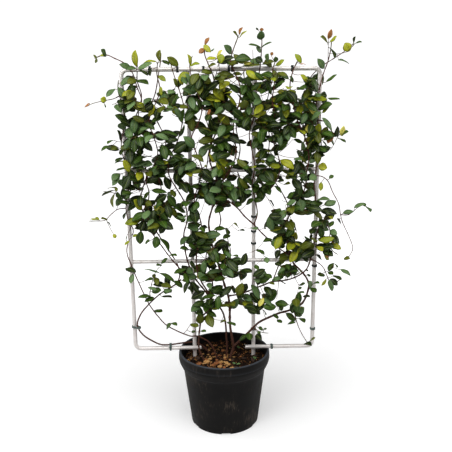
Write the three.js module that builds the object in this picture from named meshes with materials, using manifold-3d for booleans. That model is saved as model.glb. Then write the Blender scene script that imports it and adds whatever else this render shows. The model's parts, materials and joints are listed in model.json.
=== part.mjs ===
// Star jasmine in a nursery pot, tied to a metal climbing rack.
// Millimetres, +Z up, the front faces -Y, and the origin is the middle of the pot's underside.

import * as THREE from 'three';
import { mergeVertices } from 'three/addons/utils/BufferGeometryUtils.js';
import Module from 'manifold-3d';

const wasm = await Module();
wasm.setup();

const gap = 0.3;               // between pieces that touch
const clearance = gap + 0.1;   // that a leaf keeps to all but its own stem

// Pot
const potHeight = 255;
const rimRadius = 153.5;
const rimBand = 24;            // height of the upright band
const collarBand = 63;         // from the rim's top down to the foot of the slope under the band
const baseRadius = 114.6;
const wallSlope = 0.1215;      // growth of the wall's radius for each millimetre of height
const wallThickness = 1.8;
const floorThickness = 3;
const mouthRadius = 144.5;
const potSides = 36;
const notchCount = 6;
const notchWidth = 30;
const notchHeight = 5;
const notchDepth = 7;
const notchTurn = THREE.MathUtils.degToRad(0.8);

// Potting mix
const mixTop = 226;
const socketClearance = 0.5;

// Rack
const hoopWidth = 597.5;       // between the centrelines of the two sides
const hoopHeight = 899;        // between the centrelines of the top and the bottom
const hoopTube = 6.6;          // radius
const hoopBore = 5.2;
const hoopCorner = 19;         // bend radius of the centreline
const hoopLow = potHeight + hoopTube + gap;
const hoopHigh = hoopLow + hoopHeight;
const legEndLeft = -77;        // the two lower runs stop here, above the pot
const legEndRight = 72;
const stakeX = 100;
const stakeTube = 6.4;
const stakeBore = 5;
const stakeY = hoopTube + stakeTube + gap;
const stakeFoot = 60;          // height of the buried ends
const barTube = 6.3;
const barHeights = { cross_bar_lower: 304, cross_bar_upper: 597 };   // above the bottom run

// Ties
const tieWidth = 6;
const tieThickness = 1.1;
const tieClearance = 0.8;      // to the corners of the band's inside, so that its flats clear the tube

// Leaves
const leafLength = 50;
const tipLeaf = 24;            // the young leaf that ends a shoot
const leafThickness = 1.6;
const leafWidth = 0.52;        // share of the length
const pairStep = 82;           // between the leaf pairs that are modelled, along a stem
const thinStem = 2.5;          // radius up to which a stem has five sides, not six

// Bark chips on the mix: across, depth, half length, and the turn about the vertical in degrees
const chips = [
  [-58, -44, 13, 20], [-27, -56, 15, 70], [4, -50, 12, 130], [-48, -92, 12, 160], [22, -98, 14, 40],
];
const chipWidth = 0.55;        // shares of the length
const chipHeight = 0.28;

const colours = {
  pot: 0x24262a, mix: 0x3a2a20, chip: 0x9a6a40, rack: 0xc9c4c2, tie: 0x2a332b, stem: 0x5a3528, leaf: 0x35582f,
};

function material(colour, roughness, metalness = 0) {
  return new THREE.MeshStandardMaterial({ color: colour, roughness, metalness });
}

const finishes = {
  pot: material(colours.pot, 0.6),
  mix: material(colours.mix, 0.95),
  chip: material(colours.chip, 0.9),
  rack: material(colours.rack, 0.4, 0.8),
  tie: material(colours.tie, 0.6),
  stem: material(colours.stem, 0.75),
  leaf: material(colours.leaf, 0.4),
};

// Solids and meshes

function solidOf(geometry) {
  geometry.deleteAttribute('normal');
  geometry.deleteAttribute('uv');
  const merged = mergeVertices(geometry, 1e-4);
  const solid = new wasm.Manifold(new wasm.Mesh({
    numProp: 3,
    vertProperties: new Float32Array(merged.attributes.position.array),
    triVerts: new Uint32Array(merged.index.array),
  }));
  return solid;
}

function meshOf(name, solid, finish) {
  const data = solid.getMesh();
  const geometry = new THREE.BufferGeometry();
  geometry.setAttribute('position', new THREE.BufferAttribute(data.vertProperties, 3));
  geometry.setIndex(new THREE.BufferAttribute(data.triVerts, 1));
  geometry.computeVertexNormals();
  const mesh = new THREE.Mesh(geometry, finishes[finish]);
  mesh.name = name;
  return mesh;
}

// A circle of straight sides, the section of every tube
function section(radius, sides) {
  const points = [];
  for (let i = 0; i < sides; i++) {
    const angle = (2 * Math.PI * i) / sides;
    points.push(new THREE.Vector2(radius * Math.cos(angle), radius * Math.sin(angle)));
  }
  return new THREE.Shape(points);
}

// The biggest of a solid's separate bodies
function largest(solid) {
  return solid.decompose().reduce((best, body) => (body.volume() > best.volume() ? body : best));
}

function tubeAlong(curve, radius, sides, steps) {
  return solidOf(new THREE.ExtrudeGeometry(section(radius, sides), { extrudePath: curve, steps }));
}

// A run through listed stations, so that straight lengths take one step and bends take several
class StationPath extends THREE.Curve {
  constructor(stations) {
    super();
    this.stations = stations;
  }

  getPoint(t) {
    const last = this.stations.length - 1;
    const place = THREE.MathUtils.clamp(t, 0, 1) * last;
    const index = Math.min(Math.floor(place), last - 1);
    return this.stations[index].clone().lerp(this.stations[index + 1], place - index);
  }

  getUtoTmapping(u) {
    return u;
  }
}

// Narrows or widens a tube from ring to ring; radii are spread evenly over its stations
function taper(geometry, path, radius, radii) {
  const position = geometry.attributes.position;
  const last = path.stations.length - 1;
  const vertex = new THREE.Vector3();
  for (let i = 0; i < position.count; i++) {
    vertex.fromBufferAttribute(position, i);
    let nearest = 0;
    path.stations.forEach((station, index) => {
      if (vertex.distanceToSquared(station) < vertex.distanceToSquared(path.stations[nearest])) {
        nearest = index;
      }
    });
    const place = (nearest / last) * (radii.length - 1);
    const index = Math.min(Math.floor(place), radii.length - 2);
    const wanted = THREE.MathUtils.lerp(radii[index], radii[index + 1], place - index);
    vertex.sub(path.stations[nearest]).multiplyScalar(wanted / radius).add(path.stations[nearest]);
    position.setXYZ(i, vertex.x, vertex.y, vertex.z);
  }
  return geometry;
}

// Pot

function wallRadius(height) {
  return baseRadius + wallSlope * height;
}

function potSolid() {
  const collarFoot = potHeight - collarBand;
  const rimFoot = potHeight - rimBand;
  const inside = (height) => wallRadius(height) - wallThickness;
  const outline = [
    [0, 0],
    [baseRadius - 1.5, 0],
    [baseRadius + 0.2, 2],
    [wallRadius(collarFoot), collarFoot],
    [rimRadius - 6.3, rimFoot - 20],
    [rimRadius - 1.8, rimFoot - 9],
    [rimRadius - 0.6, rimFoot - 3],
    [rimRadius, rimFoot],
    [rimRadius - 0.6, potHeight - 5],
    [rimRadius - 1.4, potHeight - 1.4],
    [rimRadius - 3.4, potHeight],
    [mouthRadius + 1.8, potHeight],
    [mouthRadius, potHeight - 1.8],
    [inside(rimFoot) + 1.4, rimFoot],
    [inside(collarFoot), collarFoot],
    [inside(floorThickness), floorThickness],
    [0, floorThickness],
  ];
  const turned = new THREE.LatheGeometry(outline.map(([r, z]) => new THREE.Vector2(r, z)), potSides);
  let pot = solidOf(turned.rotateX(Math.PI / 2));
  for (let i = 0; i < notchCount; i++) {
    const angle = -Math.PI / 2 + notchTurn + (i * 2 * Math.PI) / notchCount;
    const reach = notchDepth + 8;
    const cutter = new THREE.BoxGeometry(reach, notchWidth, 2 * notchHeight);
    cutter.translate(baseRadius - notchDepth + reach / 2, 0, 0);
    cutter.rotateZ(angle);
    pot = pot.subtract(solidOf(cutter));
  }
  return pot;
}

// The mix fills the pot and has a socket round each stake
function mixSolid() {
  const inside = (height) => wallRadius(height) - wallThickness - socketClearance;
  const floor = floorThickness + gap;
  const outline = [[0, floor], [inside(floor), floor], [inside(mixTop), mixTop], [0, mixTop]];
  const turned = new THREE.LatheGeometry(outline.map(([r, z]) => new THREE.Vector2(r, z)), potSides);
  let mix = solidOf(turned.rotateX(Math.PI / 2));
  const socketRadius = stakeTube + socketClearance;
  for (const x of [-stakeX, stakeX]) {
    const socket = new THREE.CylinderGeometry(socketRadius, socketRadius, potHeight, 10);
    socket.rotateX(Math.PI / 2).translate(x, stakeY, stakeFoot - gap + potHeight / 2);
    mix = mix.subtract(solidOf(socket));
  }
  return mix;
}

function chipSolid([x, y, length, turn]) {
  const chip = new THREE.DodecahedronGeometry(1).scale(length, length * chipWidth, length * chipHeight);
  chip.rotateZ(THREE.MathUtils.degToRad(turn));
  chip.computeBoundingBox();
  return solidOf(chip.translate(x, y, mixTop + gap - chip.boundingBox.min.z));
}

// Rack

function hoopPath(extra) {
  const side = hoopWidth / 2;
  const corners = [
    [-side + hoopCorner, hoopLow + hoopCorner, -Math.PI / 2],
    [-side + hoopCorner, hoopHigh - hoopCorner, Math.PI],
    [side - hoopCorner, hoopHigh - hoopCorner, Math.PI / 2],
    [side - hoopCorner, hoopLow + hoopCorner, 0],
  ];
  const bendSteps = 5;
  const stations = [new THREE.Vector3(legEndLeft + extra, 0, hoopLow)];
  for (const [x, z, start] of corners) {
    for (let i = 0; i <= bendSteps; i++) {
      const angle = start - (Math.PI / 2) * (i / bendSteps);
      stations.push(new THREE.Vector3(x + hoopCorner * Math.cos(angle), 0, z + hoopCorner * Math.sin(angle)));
    }
  }
  stations.push(new THREE.Vector3(legEndRight - extra, 0, hoopLow));
  return new StationPath(stations);
}

function hoopSolid() {
  const outer = hoopPath(0);
  const inner = hoopPath(5);
  const steps = outer.stations.length - 1;
  return tubeAlong(outer, hoopTube, 10, steps).subtract(tubeAlong(inner, hoopBore, 8, steps));
}

// A straight hollow tube along Z, later turned into place
function pipe(outer, bore, length) {
  const outline = [[bore, 0], [outer, 0], [outer, length], [bore, length], [bore, 0]];
  const turned = new THREE.LatheGeometry(outline.map(([r, z]) => new THREE.Vector2(r, z)), 10);
  return turned.rotateX(Math.PI / 2);
}

function stakeSolid(x) {
  const top = hoopHigh + 2;
  return solidOf(pipe(stakeTube, stakeBore, top - stakeFoot).translate(x, stakeY, stakeFoot));
}

function crossBarSolid(height) {
  const length = hoopWidth - 2 * (hoopTube + gap);
  const bar = new THREE.CylinderGeometry(barTube, barTube, length, 10).rotateZ(Math.PI / 2);
  return solidOf(bar.translate(0, 0, hoopLow + height));
}

function arc([x, y], radius, start, sweep, steps) {
  const points = [];
  for (let i = 0; i <= steps; i++) {
    const angle = start + sweep * (i / steps);
    points.push(new THREE.Vector2(x + radius * Math.cos(angle), y + radius * Math.sin(angle)));
  }
  return points;
}

// The outline of a band round one circle, or pulled tight round two
function bandOutline(own, reach, other) {
  if (!reach) {
    return arc([0, 0], own, 0, (2 * Math.PI * 7) / 8, 7);
  }
  const heading = Math.atan2(reach[1], reach[0]);
  const spread = Math.acos((own - other) / Math.hypot(...reach));
  return [
    ...arc([0, 0], own, heading + spread, 2 * (Math.PI - spread), 6),
    ...arc(reach, other, heading - spread, 2 * spread, 4),
  ];
}

// A flat band round a tube, and round the stem beside it where reach is given
function tieSolid({ at, along, radius, reach, stem }) {
  const outline = (extra) => bandOutline(radius + extra, reach, stem + extra);
  const shape = new THREE.Shape(outline(tieClearance + tieThickness));
  shape.holes.push(new THREE.Path(outline(tieClearance)));
  const band = new THREE.ExtrudeGeometry(shape, { depth: tieWidth, bevelEnabled: false, steps: 1 });
  band.translate(0, 0, -tieWidth / 2);
  if (along === 'x') {
    band.rotateX(Math.PI / 2).rotateZ(Math.PI / 2);   // the band's own x runs to +Y and its y to +Z
  }
  return solidOf(band.translate(...at));
}

const side = hoopWidth / 2;
const ties = {
  tie_top_1: { at: [-213, 0, hoopHigh], along: 'x', radius: hoopTube },
  tie_top_2: { at: [-130, 0, hoopHigh], along: 'x', radius: hoopTube },
  tie_top_3: { at: [-52, 0, hoopHigh], along: 'x', radius: hoopTube },
  tie_top_4: { at: [24, 0, hoopHigh], along: 'x', radius: hoopTube },
  tie_top_5: { at: [34, 0, hoopHigh], along: 'x', radius: hoopTube },
  tie_top_6: { at: [214, 0, hoopHigh], along: 'x', radius: hoopTube },
  tie_left_1: { at: [-side, 0, 1024], along: 'z', radius: hoopTube },
  tie_left_2: { at: [-side, 0, 972], along: 'z', radius: hoopTube },
  tie_left_3: { at: [-side, 0, 342], along: 'z', radius: hoopTube, reach: [15.6, -12], stem: 4.4 },
  tie_right_1: { at: [side, 0, 545], along: 'z', radius: hoopTube },
  tie_right_2: { at: [side, 0, 325], along: 'z', radius: hoopTube },
  tie_stake_1: { at: [stakeX, stakeY, 708], along: 'z', radius: stakeTube },
  tie_stake_2: { at: [stakeX, stakeY, 660], along: 'z', radius: stakeTube },
  tie_stake_3: { at: [stakeX, stakeY, 620], along: 'z', radius: stakeTube },
  tie_stake_4: { at: [stakeX, stakeY, 322], along: 'z', radius: stakeTube },
  tie_leg_left: { at: [-181, 0, hoopLow], along: 'x', radius: hoopTube, reach: [0, 12], stem: 3.4 },
  tie_leg_right: { at: [161, 0, hoopLow], along: 'x', radius: hoopTube },
};

// Stems. A route is a list of places chosen by eye: across, depth (minus is towards the front), height.
// A stem with a parent starts on the parent's centreline, nearest to its first place.
// bare is the length without leaves at its start, face is where its leaves look, -1 front or 1 back.

const stems = {
  stem_main: {
    radii: [4.6, 3.4, 2.4, 1.5], bare: 205, face: -1, route: [
      [18, -9, 174], [20, -10, 226], [31, -13, 264], [27, -15, 300], [20, -16, 350], [20, -16, 400],
      [16, -16, 445], [3, -16, 490], [-8, -16, 530], [-21, -16, 575], [-34, -17, 620], [-42, -18, 665],
      [-44, -18, 700], [-32, -18, 745], [-16, -18, 790], [-20, -18, 840], [-38, -18, 890], [-32, -18, 940],
      [-12, -18, 990], [-8, -18, 1040], [-22, -18, 1090], [-22, -16, 1135], [-38, -14, 1175],
      [-48, -14, 1205], [-44, -14, 1238],
    ],
  },
  stem_centre: {
    radii: [3.4, 2.6, 1.9, 1.4], bare: 245, face: -1, route: [
      [7, 7, 174], [8, 5, 226], [10, -1, 262], [8, -3, 300], [6, -6, 345], [-1, -10, 385], [-16, -13, 413],
      [-36, -15, 430], [-58, -16, 465], [-92, -16, 512], [-112, -16, 560], [-122, -18, 610],
      [-124, -20, 660], [-112, -22, 710], [-118, -22, 760], [-142, -20, 805], [-165, -20, 850],
      [-160, -20, 900], [-138, -20, 945], [-120, -22, 1000], [-113, -22, 1050], [-125, -22, 1100],
      [-140, -18, 1145], [-150, -14, 1182],
    ],
  },
  stem_left: {
    radii: [3.0, 2.4, 1.9, 1.4], bare: 130, face: -1, route: [
      [-66, -32, 174], [-69, -30, 228], [-84, -26, 268], [-84, -24, 310], [-79, -22, 350], [-76, -22, 375],
      [-63, -26, 393], [-47, -28, 408], [-40, -29, 438], [-52, -29, 470], [-74, -29, 510], [-86, -29, 560],
      [-82, -29, 610], [-66, -30, 660], [-72, -30, 715], [-88, -29, 765], [-75, -29, 815], [-62, -29, 865],
      [-78, -29, 915], [-92, -29, 960], [-70, -29, 1005], [-58, -29, 1050], [-72, -28, 1095],
      [-88, -20, 1140], [-92, -14, 1172], [-84, -14, 1198],
    ],
  },
  stem_low_left: {
    radii: [3.2, 2.8, 2.5, 2.2], bare: 520, face: -1, route: [
      [-50, 34, 174], [-54, 34, 228], [-76, 32, 254], [-99, 28, 269], [-120, 16, 275], [-150, 5, 276],
      [-182, 0, 274], [-212, -3, 276], [-240, -7, 291], [-266, -10, 311], [-283, -12, 335],
      [-287, -12, 360], [-273, -12, 392], [-250, -12, 420], [-226, -13, 444], [-200, -14, 465],
      [-175, -14, 480], [-150, -9, 494], [-138, -10, 508],
    ],
  },
  stem_left_stile: {
    radii: [2.4, 1.8, 1.6, 1.4], bare: 640, face: -1, route: [
      [-22, -20, 182], [-26, -22, 228], [-34, -25, 262], [-48, -28, 290], [-66, -32, 306],
      [-88, -34, 318], [-112, -33, 318], [-150, -28, 332], [-190, -24, 354], [-215, -21, 382],
      [-232, -19, 405], [-246, -20, 430], [-258, -20, 458], [-272, -18, 492], [-286, -15, 528],
      [-298, -11, 560], [-309, -5, 590], [-310, 4, 615], [-300, 11, 640], [-288.5, 6.5, 662],
      [-289, -6, 684], [-299, -11, 705], [-304, -12, 745], [-296, -12, 790], [-290, -13, 840],
      [-300, -13, 890], [-309, -11, 930], [-302, -13, 972], [-292, -13, 1015], [-298, -13, 1060],
      [-309, -9, 1100], [-306, -11, 1132],
    ],
  },
  stem_right: {
    parent: 'stem_main', radii: [3.8, 3.0, 2.2, 1.6], bare: 215, face: -1, route: [
      [30, -14, 270], [50, -15, 289], [72, -15, 310], [98, -17, 338], [118, -17, 357], [150, -17, 373],
      [182, -17, 387], [205, -17, 393], [230, -15, 401], [256, -14, 416], [270, -14, 438],
      [277, -14, 462], [280, -14, 485], [271, -14, 508], [258, -14, 525], [244, -14, 541],
      [229, -14, 556], [221, -15, 580], [206, -16, 615], [212, -17, 655], [205, -18, 700],
      [232, -18, 755], [258, -18, 800], [262, -18, 850], [268, -18, 900], [256, -18, 955],
      [232, -18, 1005], [216, -18, 1060], [206, -18, 1110], [214, -15, 1150], [228, -14, 1182],
    ],
  },
  stem_cross: {
    parent: 'stem_main', radii: [2.6, 2.2, 1.8, 1.4], bare: 40, face: -1, route: [
      [15, -16, 448], [42, -23, 456], [75, -24, 466], [100, -24, 476], [130, -24, 488], [160, -24, 499],
      [200, -24, 503], [232, -23, 512], [258, -22, 527], [274, -20, 546], [284, -18, 578],
      [291, -14, 612], [302, -13, 655], [309, -10, 692], [304, -12, 730], [292, -13, 775],
      [288, -13, 825], [296, -13, 875], [307, -11, 920], [302, -12, 965], [292, -13, 1010],
      [288, -13, 1055], [296, -13, 1100], [305, -12, 1140], [318, -8, 1175], [326, -6, 1207],
      [329, -6, 1240],
    ],
  },
  shoot_sweep: {
    parent: 'stem_main', radii: [2.6, 1.8], bare: 110, face: -1, route: [
      [-24, -18, 770], [10, -27, 770], [45, -29, 745], [70, -29, 716], [98, -29, 690], [118, -27, 668],
      [140, -27, 646], [162, -27, 626], [188, -28, 605], [212, -29, 590], [232, -29, 586],
    ],
  },
  shoot_left_inner: {
    parent: 'stem_left_stile', radii: [1.9, 1.4], bare: 20, face: -1, route: [
      [-296, -12, 790], [-275, -22, 815], [-258, -25, 850], [-252, -25, 895], [-266, -25, 940],
      [-272, -25, 985], [-256, -25, 1030], [-238, -25, 1070], [-250, -23, 1110], [-262, -17, 1150],
      [-285, -13, 1178], [-312, -11, 1192], [-340, -11, 1203], [-372, -13, 1194],
    ],
  },
  shoot_left_drop: {
    parent: 'stem_centre', radii: [2.0, 1.6, 1.4], bare: 40, face: -1, route: [
      [-98, -16, 524], [-128, -26, 538], [-150, -30, 562], [-175, -30, 595], [-195, -30, 625],
      [-215, -30, 655], [-240, -30, 690], [-252, -30, 728], [-232, -30, 768], [-228, -30, 800],
      [-234, -30, 835], [-214, -30, 872], [-196, -30, 912], [-204, -30, 960], [-218, -30, 1010],
      [-200, -30, 1055], [-182, -28, 1100], [-190, -19, 1145], [-187, -14, 1182],
    ],
  },
  shoot_middle: {
    parent: 'stem_main', radii: [1.6, 1.1], bare: 24, face: -1, route: [
      [-10, -16, 540], [8, -27, 566], [24, -28, 596], [16, -28, 640], [10, -28, 676],
    ],
  },
  shoot_centre: {
    parent: 'stem_main', radii: [2.0, 1.5], bare: 20, face: -1, route: [
      [-17, -18, 812], [5, -28, 835], [28, -30, 872], [44, -30, 915], [36, -30, 965], [38, -30, 1015],
      [54, -30, 1065], [56, -27, 1110], [40, -18, 1150], [29, -13, 1182], [38, -12, 1216], [52, -12, 1252],
    ],
  },
  shoot_centre_right: {
    parent: 'shoot_sweep', radii: [2.0, 1.5], bare: 70, face: -1, route: [
      [100, -29, 688], [108, -36, 725], [102, -34, 770], [93, -29, 820], [100, -26, 870], [92, -26, 920],
      [84, -26, 970], [98, -26, 1020], [106, -26, 1070], [103, -25, 1115], [114, -17, 1150],
      [119, -13, 1190], [121, -12, 1222], [122, -12, 1250],
    ],
  },
  shoot_right: {
    parent: 'shoot_centre_right', radii: [2.0, 1.5], bare: 20, face: -1, route: [
      [102, -34, 768], [126, -38, 786], [152, -36, 808], [172, -33, 840], [178, -31, 880], [164, -31, 925],
      [152, -31, 970], [160, -31, 1020], [152, -31, 1070], [158, -29, 1115], [153, -19, 1150],
      [162, -14, 1184],
    ],
  },
  shoot_right_hang: {
    parent: 'stem_cross', radii: [1.5, 1.0], bare: 70, face: -1, route: [
      [290, -13, 838], [310, -20, 838], [330, -20, 823], [347, -18, 787], [366, -18, 752],
      [374, -18, 716], [382, -18, 690], [404, -18, 645], [418, -18, 605], [406, -18, 578], [392, -18, 566],
    ],
  },
  shoot_right_spray: {
    parent: 'shoot_right_hang', radii: [1.2, 0.9], bare: 12, face: -1, route: [
      [374, -18, 714], [398, -22, 716], [420, -22, 733], [440, -22, 748], [460, -22, 738],
    ],
  },
  shoot_right_outer: {
    parent: 'stem_cross', radii: [1.8, 1.3], bare: 12, face: -1, route: [
      [308, -11, 700], [328, -20, 690], [342, -22, 662], [338, -22, 628], [352, -22, 600], [370, -22, 586],
    ],
  },
  shoot_right_low: {
    parent: 'stem_cross', radii: [1.6, 1.2], bare: 60, face: -1, route: [
      [282, -18, 572], [306, -24, 561], [323, -24, 545], [335, -24, 520], [345, -24, 500],
      [366, -24, 494], [386, -24, 508],
    ],
  },
  shoot_right_high: {
    parent: 'stem_cross', radii: [1.6, 1.2], bare: 12, face: -1, route: [
      [292, -13, 1012], [318, -20, 1002], [335, -20, 977], [352, -20, 962], [374, -20, 974],
    ],
  },
  shoot_low_right: {
    parent: 'stem_right', radii: [1.5, 1.0], bare: 30, face: -1, route: [
      [230, -15, 401], [237, -24, 375], [246, -24, 345], [262, -22, 310], [278, -19, 284], [293, -17, 268],
    ],
  },
  shoot_low_pot: {
    parent: 'stem_right', radii: [1.4, 1.0], bare: 12, face: -1, route: [
      [99, -17, 340], [112, -26, 330], [130, -27, 323], [148, -27, 321],
    ],
  },
  shoot_left_tip: {
    parent: 'stem_left_stile', radii: [1.3, 0.9], bare: 30, face: -1, route: [
      [-306, -10, 1085], [-325, -14, 1077], [-355, -14, 1072], [-385, -14, 1065], [-404, -14, 1056],
    ],
  },
  shoot_left_side: {
    parent: 'stem_left_stile', radii: [1.4, 1.1], bare: 50, face: -1, route: [
      [-304, -12, 746], [-330, -16, 742], [-352, -17, 726], [-372, -17, 708], [-398, -17, 706],
      [-424, -17, 706],
    ],
  },
  shoot_left_bunch: {
    parent: 'stem_left_stile', radii: [1.4, 1.0], bare: 10, face: -1, route: [
      [-298, -12, 778], [-322, -17, 788], [-346, -17, 796], [-372, -17, 800],
    ],
  },
  shoot_low_left: {
    parent: 'stem_low_left', radii: [1.4, 1.0], bare: 14, face: -1, route: [
      [-234, -13, 437], [-240, -26, 462], [-232, -26, 500], [-222, -26, 530], [-208, -27, 554],
    ],
  },
  back_far_left: {
    parent: 'back_left', radii: [1.9, 1.5], bare: 20, face: 1, route: [
      [-232, 30, 692], [-252, 36, 716], [-266, 37, 752], [-255, 37, 800], [-240, 36, 850], [-255, 36, 905],
      [-242, 36, 965], [-258, 36, 1025], [-245, 33, 1085], [-255, 26, 1130], [-251, 13, 1168],
      [-250, 11, 1196],
    ],
  },
  back_centre: {
    parent: 'stem_centre', radii: [2.2, 1.8, 1.4], bare: 60, face: 1, route: [
      [-40, -15, 436], [-35, 2, 475], [-42, 22, 520], [-56, 28, 575], [-30, 30, 640], [-6, 30, 690],
      [-20, 30, 750], [-50, 30, 820], [-44, 30, 895], [-34, 30, 960], [-48, 30, 1025], [-34, 30, 1085],
      [-18, 24, 1135], [-6, 15, 1178],
    ],
  },
  back_right: {
    parent: 'stem_main', radii: [2.2, 1.8, 1.4], bare: 30, face: 1, route: [
      [-32, -18, 745], [-14, -4, 762], [12, 18, 776], [40, 29, 786], [62, 30, 812], [48, 30, 860],
      [58, 30, 925], [46, 30, 990], [62, 30, 1055], [74, 28, 1110], [70, 20, 1152], [82, 14, 1178],
    ],
  },
  back_right_outer: {
    parent: 'stem_cross', radii: [2.0, 1.7, 1.4], bare: 60, face: 1, route: [
      [160, -24, 499], [172, -2, 522], [184, 18, 546], [189, 27, 582], [182, 28, 632], [196, 29, 690],
      [212, 30, 736], [190, 30, 786], [160, 30, 832], [148, 30, 890], [150, 30, 960], [138, 30, 1025],
      [146, 30, 1085], [160, 25, 1135], [174, 15, 1172],
    ],
  },
  back_far_right: {
    parent: 'stem_right', radii: [2.0, 1.7, 1.3], bare: 40, face: 1, route: [
      [232, -18, 755], [241, -4, 778], [250, 18, 802], [258, 30, 840], [248, 30, 895], [262, 30, 960],
      [250, 30, 1025], [262, 30, 1085], [274, 25, 1135], [304, 13, 1166], [342, 6, 1190], [376, 4, 1212],
      [398, 4, 1232],
    ],
  },
  back_left: {
    parent: 'stem_low_left', radii: [2.2, 1.9, 1.5], bare: 40, face: 1, route: [
      [-150, -9, 494], [-143, 6, 520], [-152, 22, 552], [-178, 28, 596], [-206, 30, 642],
      [-232, 30, 692], [-226, 30, 745], [-196, 30, 795], [-205, 30, 850], [-190, 30, 900],
      [-175, 30, 950], [-195, 30, 1000], [-215, 30, 1050], [-200, 28, 1100], [-190, 22, 1145],
      [-182, 14, 1180], [-178, 12, 1208],
    ],
  },
};

// Places in the foliage that are left open, as seen from the front: across, height, half width, half height
const openings = [
  [-205, 1118, 38, 20], [-150, 1022, 32, 26], [262, 930, 24, 20], [215, 905, 22, 34], [190, 728, 36, 30],
  [-160, 640, 30, 42], [-40, 690, 14, 20], [250, 690, 22, 26], [60, 640, 46, 34], [-10, 725, 16, 16],
  [60, 720, 22, 16], [-250, 590, 40, 30],
];

// A number from 0 to 1 that is always the same for the same seed and place in a list
function vary(seed, index) {
  const value = Math.sin(seed * 12.9898 + index * 78.233) * 43758.5453;
  return value - Math.floor(value);
}

// The centreline of a stem; its parent's is drawn first, wherever that stands in the list
const curves = {};

function curveOf(name) {
  if (!curves[name]) {
    const { route, parent } = stems[name];
    const points = route.map((place) => new THREE.Vector3(...place));
    if (parent) {
      points[0] = nearestPoint(curveOf(parent), points[0]);
    }
    curves[name] = new THREE.CatmullRomCurve3(points, false, 'catmullrom', 0.5);
  }
  return curves[name];
}

function nearestPoint(curve, target) {
  let best = null;
  for (const point of new StationPath(curve.points).getPoints(600)) {
    if (!best || point.distanceToSquared(target) < best.distanceToSquared(target)) {
      best = point;
    }
  }
  return best;
}

// The stem as a tapered tube with a ring at each place of its route; extra makes a sleeve round it
function stemSolid(name, extra = 0, rings = Infinity) {
  const { radii } = stems[name];
  const stations = curveOf(name).points.slice(0, rings);
  const path = new StationPath(stations);
  const sides = radii[0] > thinStem ? 6 : 5;
  const steps = stations.length - 1;
  const tube = new THREE.ExtrudeGeometry(section(1, sides), { extrudePath: path, steps });
  const shown = rings < Infinity ? [radii[0], radii[0]] : radii;
  return solidOf(taper(tube, path, 1, shown.map((radius) => radius + extra)));
}

// Where the modelled leaves of a stem go, in pairs, smaller towards the tip
function leafPlaces(name) {
  const { bare, face } = stems[name];
  const curve = curveOf(name);
  const path = new StationPath(curve.points);
  const length = curve.getLength();
  const seed = 1 + Object.keys(stems).indexOf(name);
  const up = new THREE.Vector3(0, 0, 1);
  const places = [];
  let distance = bare;
  for (let i = 0; distance < length - 2; i++) {
    const t = curve.getUtoTmapping(distance / length);
    const along = curve.getTangent(t);
    const base = path.getPoint(t);
    const facing = new THREE.Vector3(0, face, 0.35).normalize();
    facing.applyAxisAngle(along, 1.6 * (vary(seed, i) - 0.5));
    const across = new THREE.Vector3().crossVectors(along, facing).normalize();
    const nearTip = 0.55 + 0.45 * Math.min(1, (length - distance) / 120);
    for (const hand of [1, -1]) {
      const k = 2 * i + (hand + 1) / 2;
      const direction = across.clone().multiplyScalar(0.85 * hand)
        .addScaledVector(along, 0.1 + 0.6 * vary(seed + 0.17, k))
        .addScaledVector(facing, 0.5 * vary(seed + 0.29, k) - 0.15)
        .addScaledVector(up, 0.1 - 0.55 * vary(seed + 0.41, k))
        .normalize();
      const size = leafLength * nearTip * (0.75 + 0.45 * vary(seed + 0.53, k));
      places.push({ base, direction, facing, length: size });
    }
    distance += pairStep * (0.8 + 0.4 * vary(seed + 0.67, i));
  }
  const direction = curve.getTangent(1);
  const base = path.getPoint(1).addScaledVector(direction, -2);
  places.push({ base, direction, facing: new THREE.Vector3(0, face, 0), length: tipLeaf });
  return places;
}

function leafSolid({ base, direction, facing, length }) {
  const normal = facing.clone().addScaledVector(direction, -facing.dot(direction)).normalize();
  const across = new THREE.Vector3().crossVectors(direction, normal);
  const middle = base.clone().addScaledVector(direction, length / 2);
  const matrix = new THREE.Matrix4().makeBasis(
    across.multiplyScalar((leafWidth * length) / 2),
    direction.clone().multiplyScalar(length / 2),
    normal.multiplyScalar(leafThickness / 2),
  );
  matrix.setPosition(middle);
  return solidOf(new THREE.OctahedronGeometry(1).applyMatrix4(matrix));
}

function isOpen({ base, direction, length }) {
  const middle = base.clone().addScaledVector(direction, length * 0.6);
  return openings.some(([x, z, halfWidth, halfHeight]) => (
    ((middle.x - x) / halfWidth) ** 2 + ((middle.z - z) / halfHeight) ** 2 < 1
  ));
}

// Keeps a list of what stands where, and says whether a new solid is clear of all but its own stem
const standing = [];

function stand(owner, solid) {
  const { min, max } = solid.boundingBox();
  standing.push({ owner, solid, min, max });
}

function isClear(owner, solid) {
  const { min, max } = solid.boundingBox();
  return standing.every((other) => {
    const apart = [0, 1, 2].some((axis) => (
      min[axis] > other.max[axis] + clearance || max[axis] < other.min[axis] - clearance
    ));
    return apart || other.owner === owner || solid.minGap(other.solid, clearance) >= clearance;
  });
}

// The whole object

const solids = {};
solids.pot = [potSolid(), 'pot'];
solids.frame_hoop = [hoopSolid(), 'rack'];
solids.stake_left = [stakeSolid(-stakeX), 'rack'];
solids.stake_right = [stakeSolid(stakeX), 'rack'];
for (const [name, height] of Object.entries(barHeights)) {
  solids[name] = [crossBarSolid(height), 'rack'];
}
for (const [name, tie] of Object.entries(ties)) {
  solids[name] = [tieSolid(tie), 'tie'];
}

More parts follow.
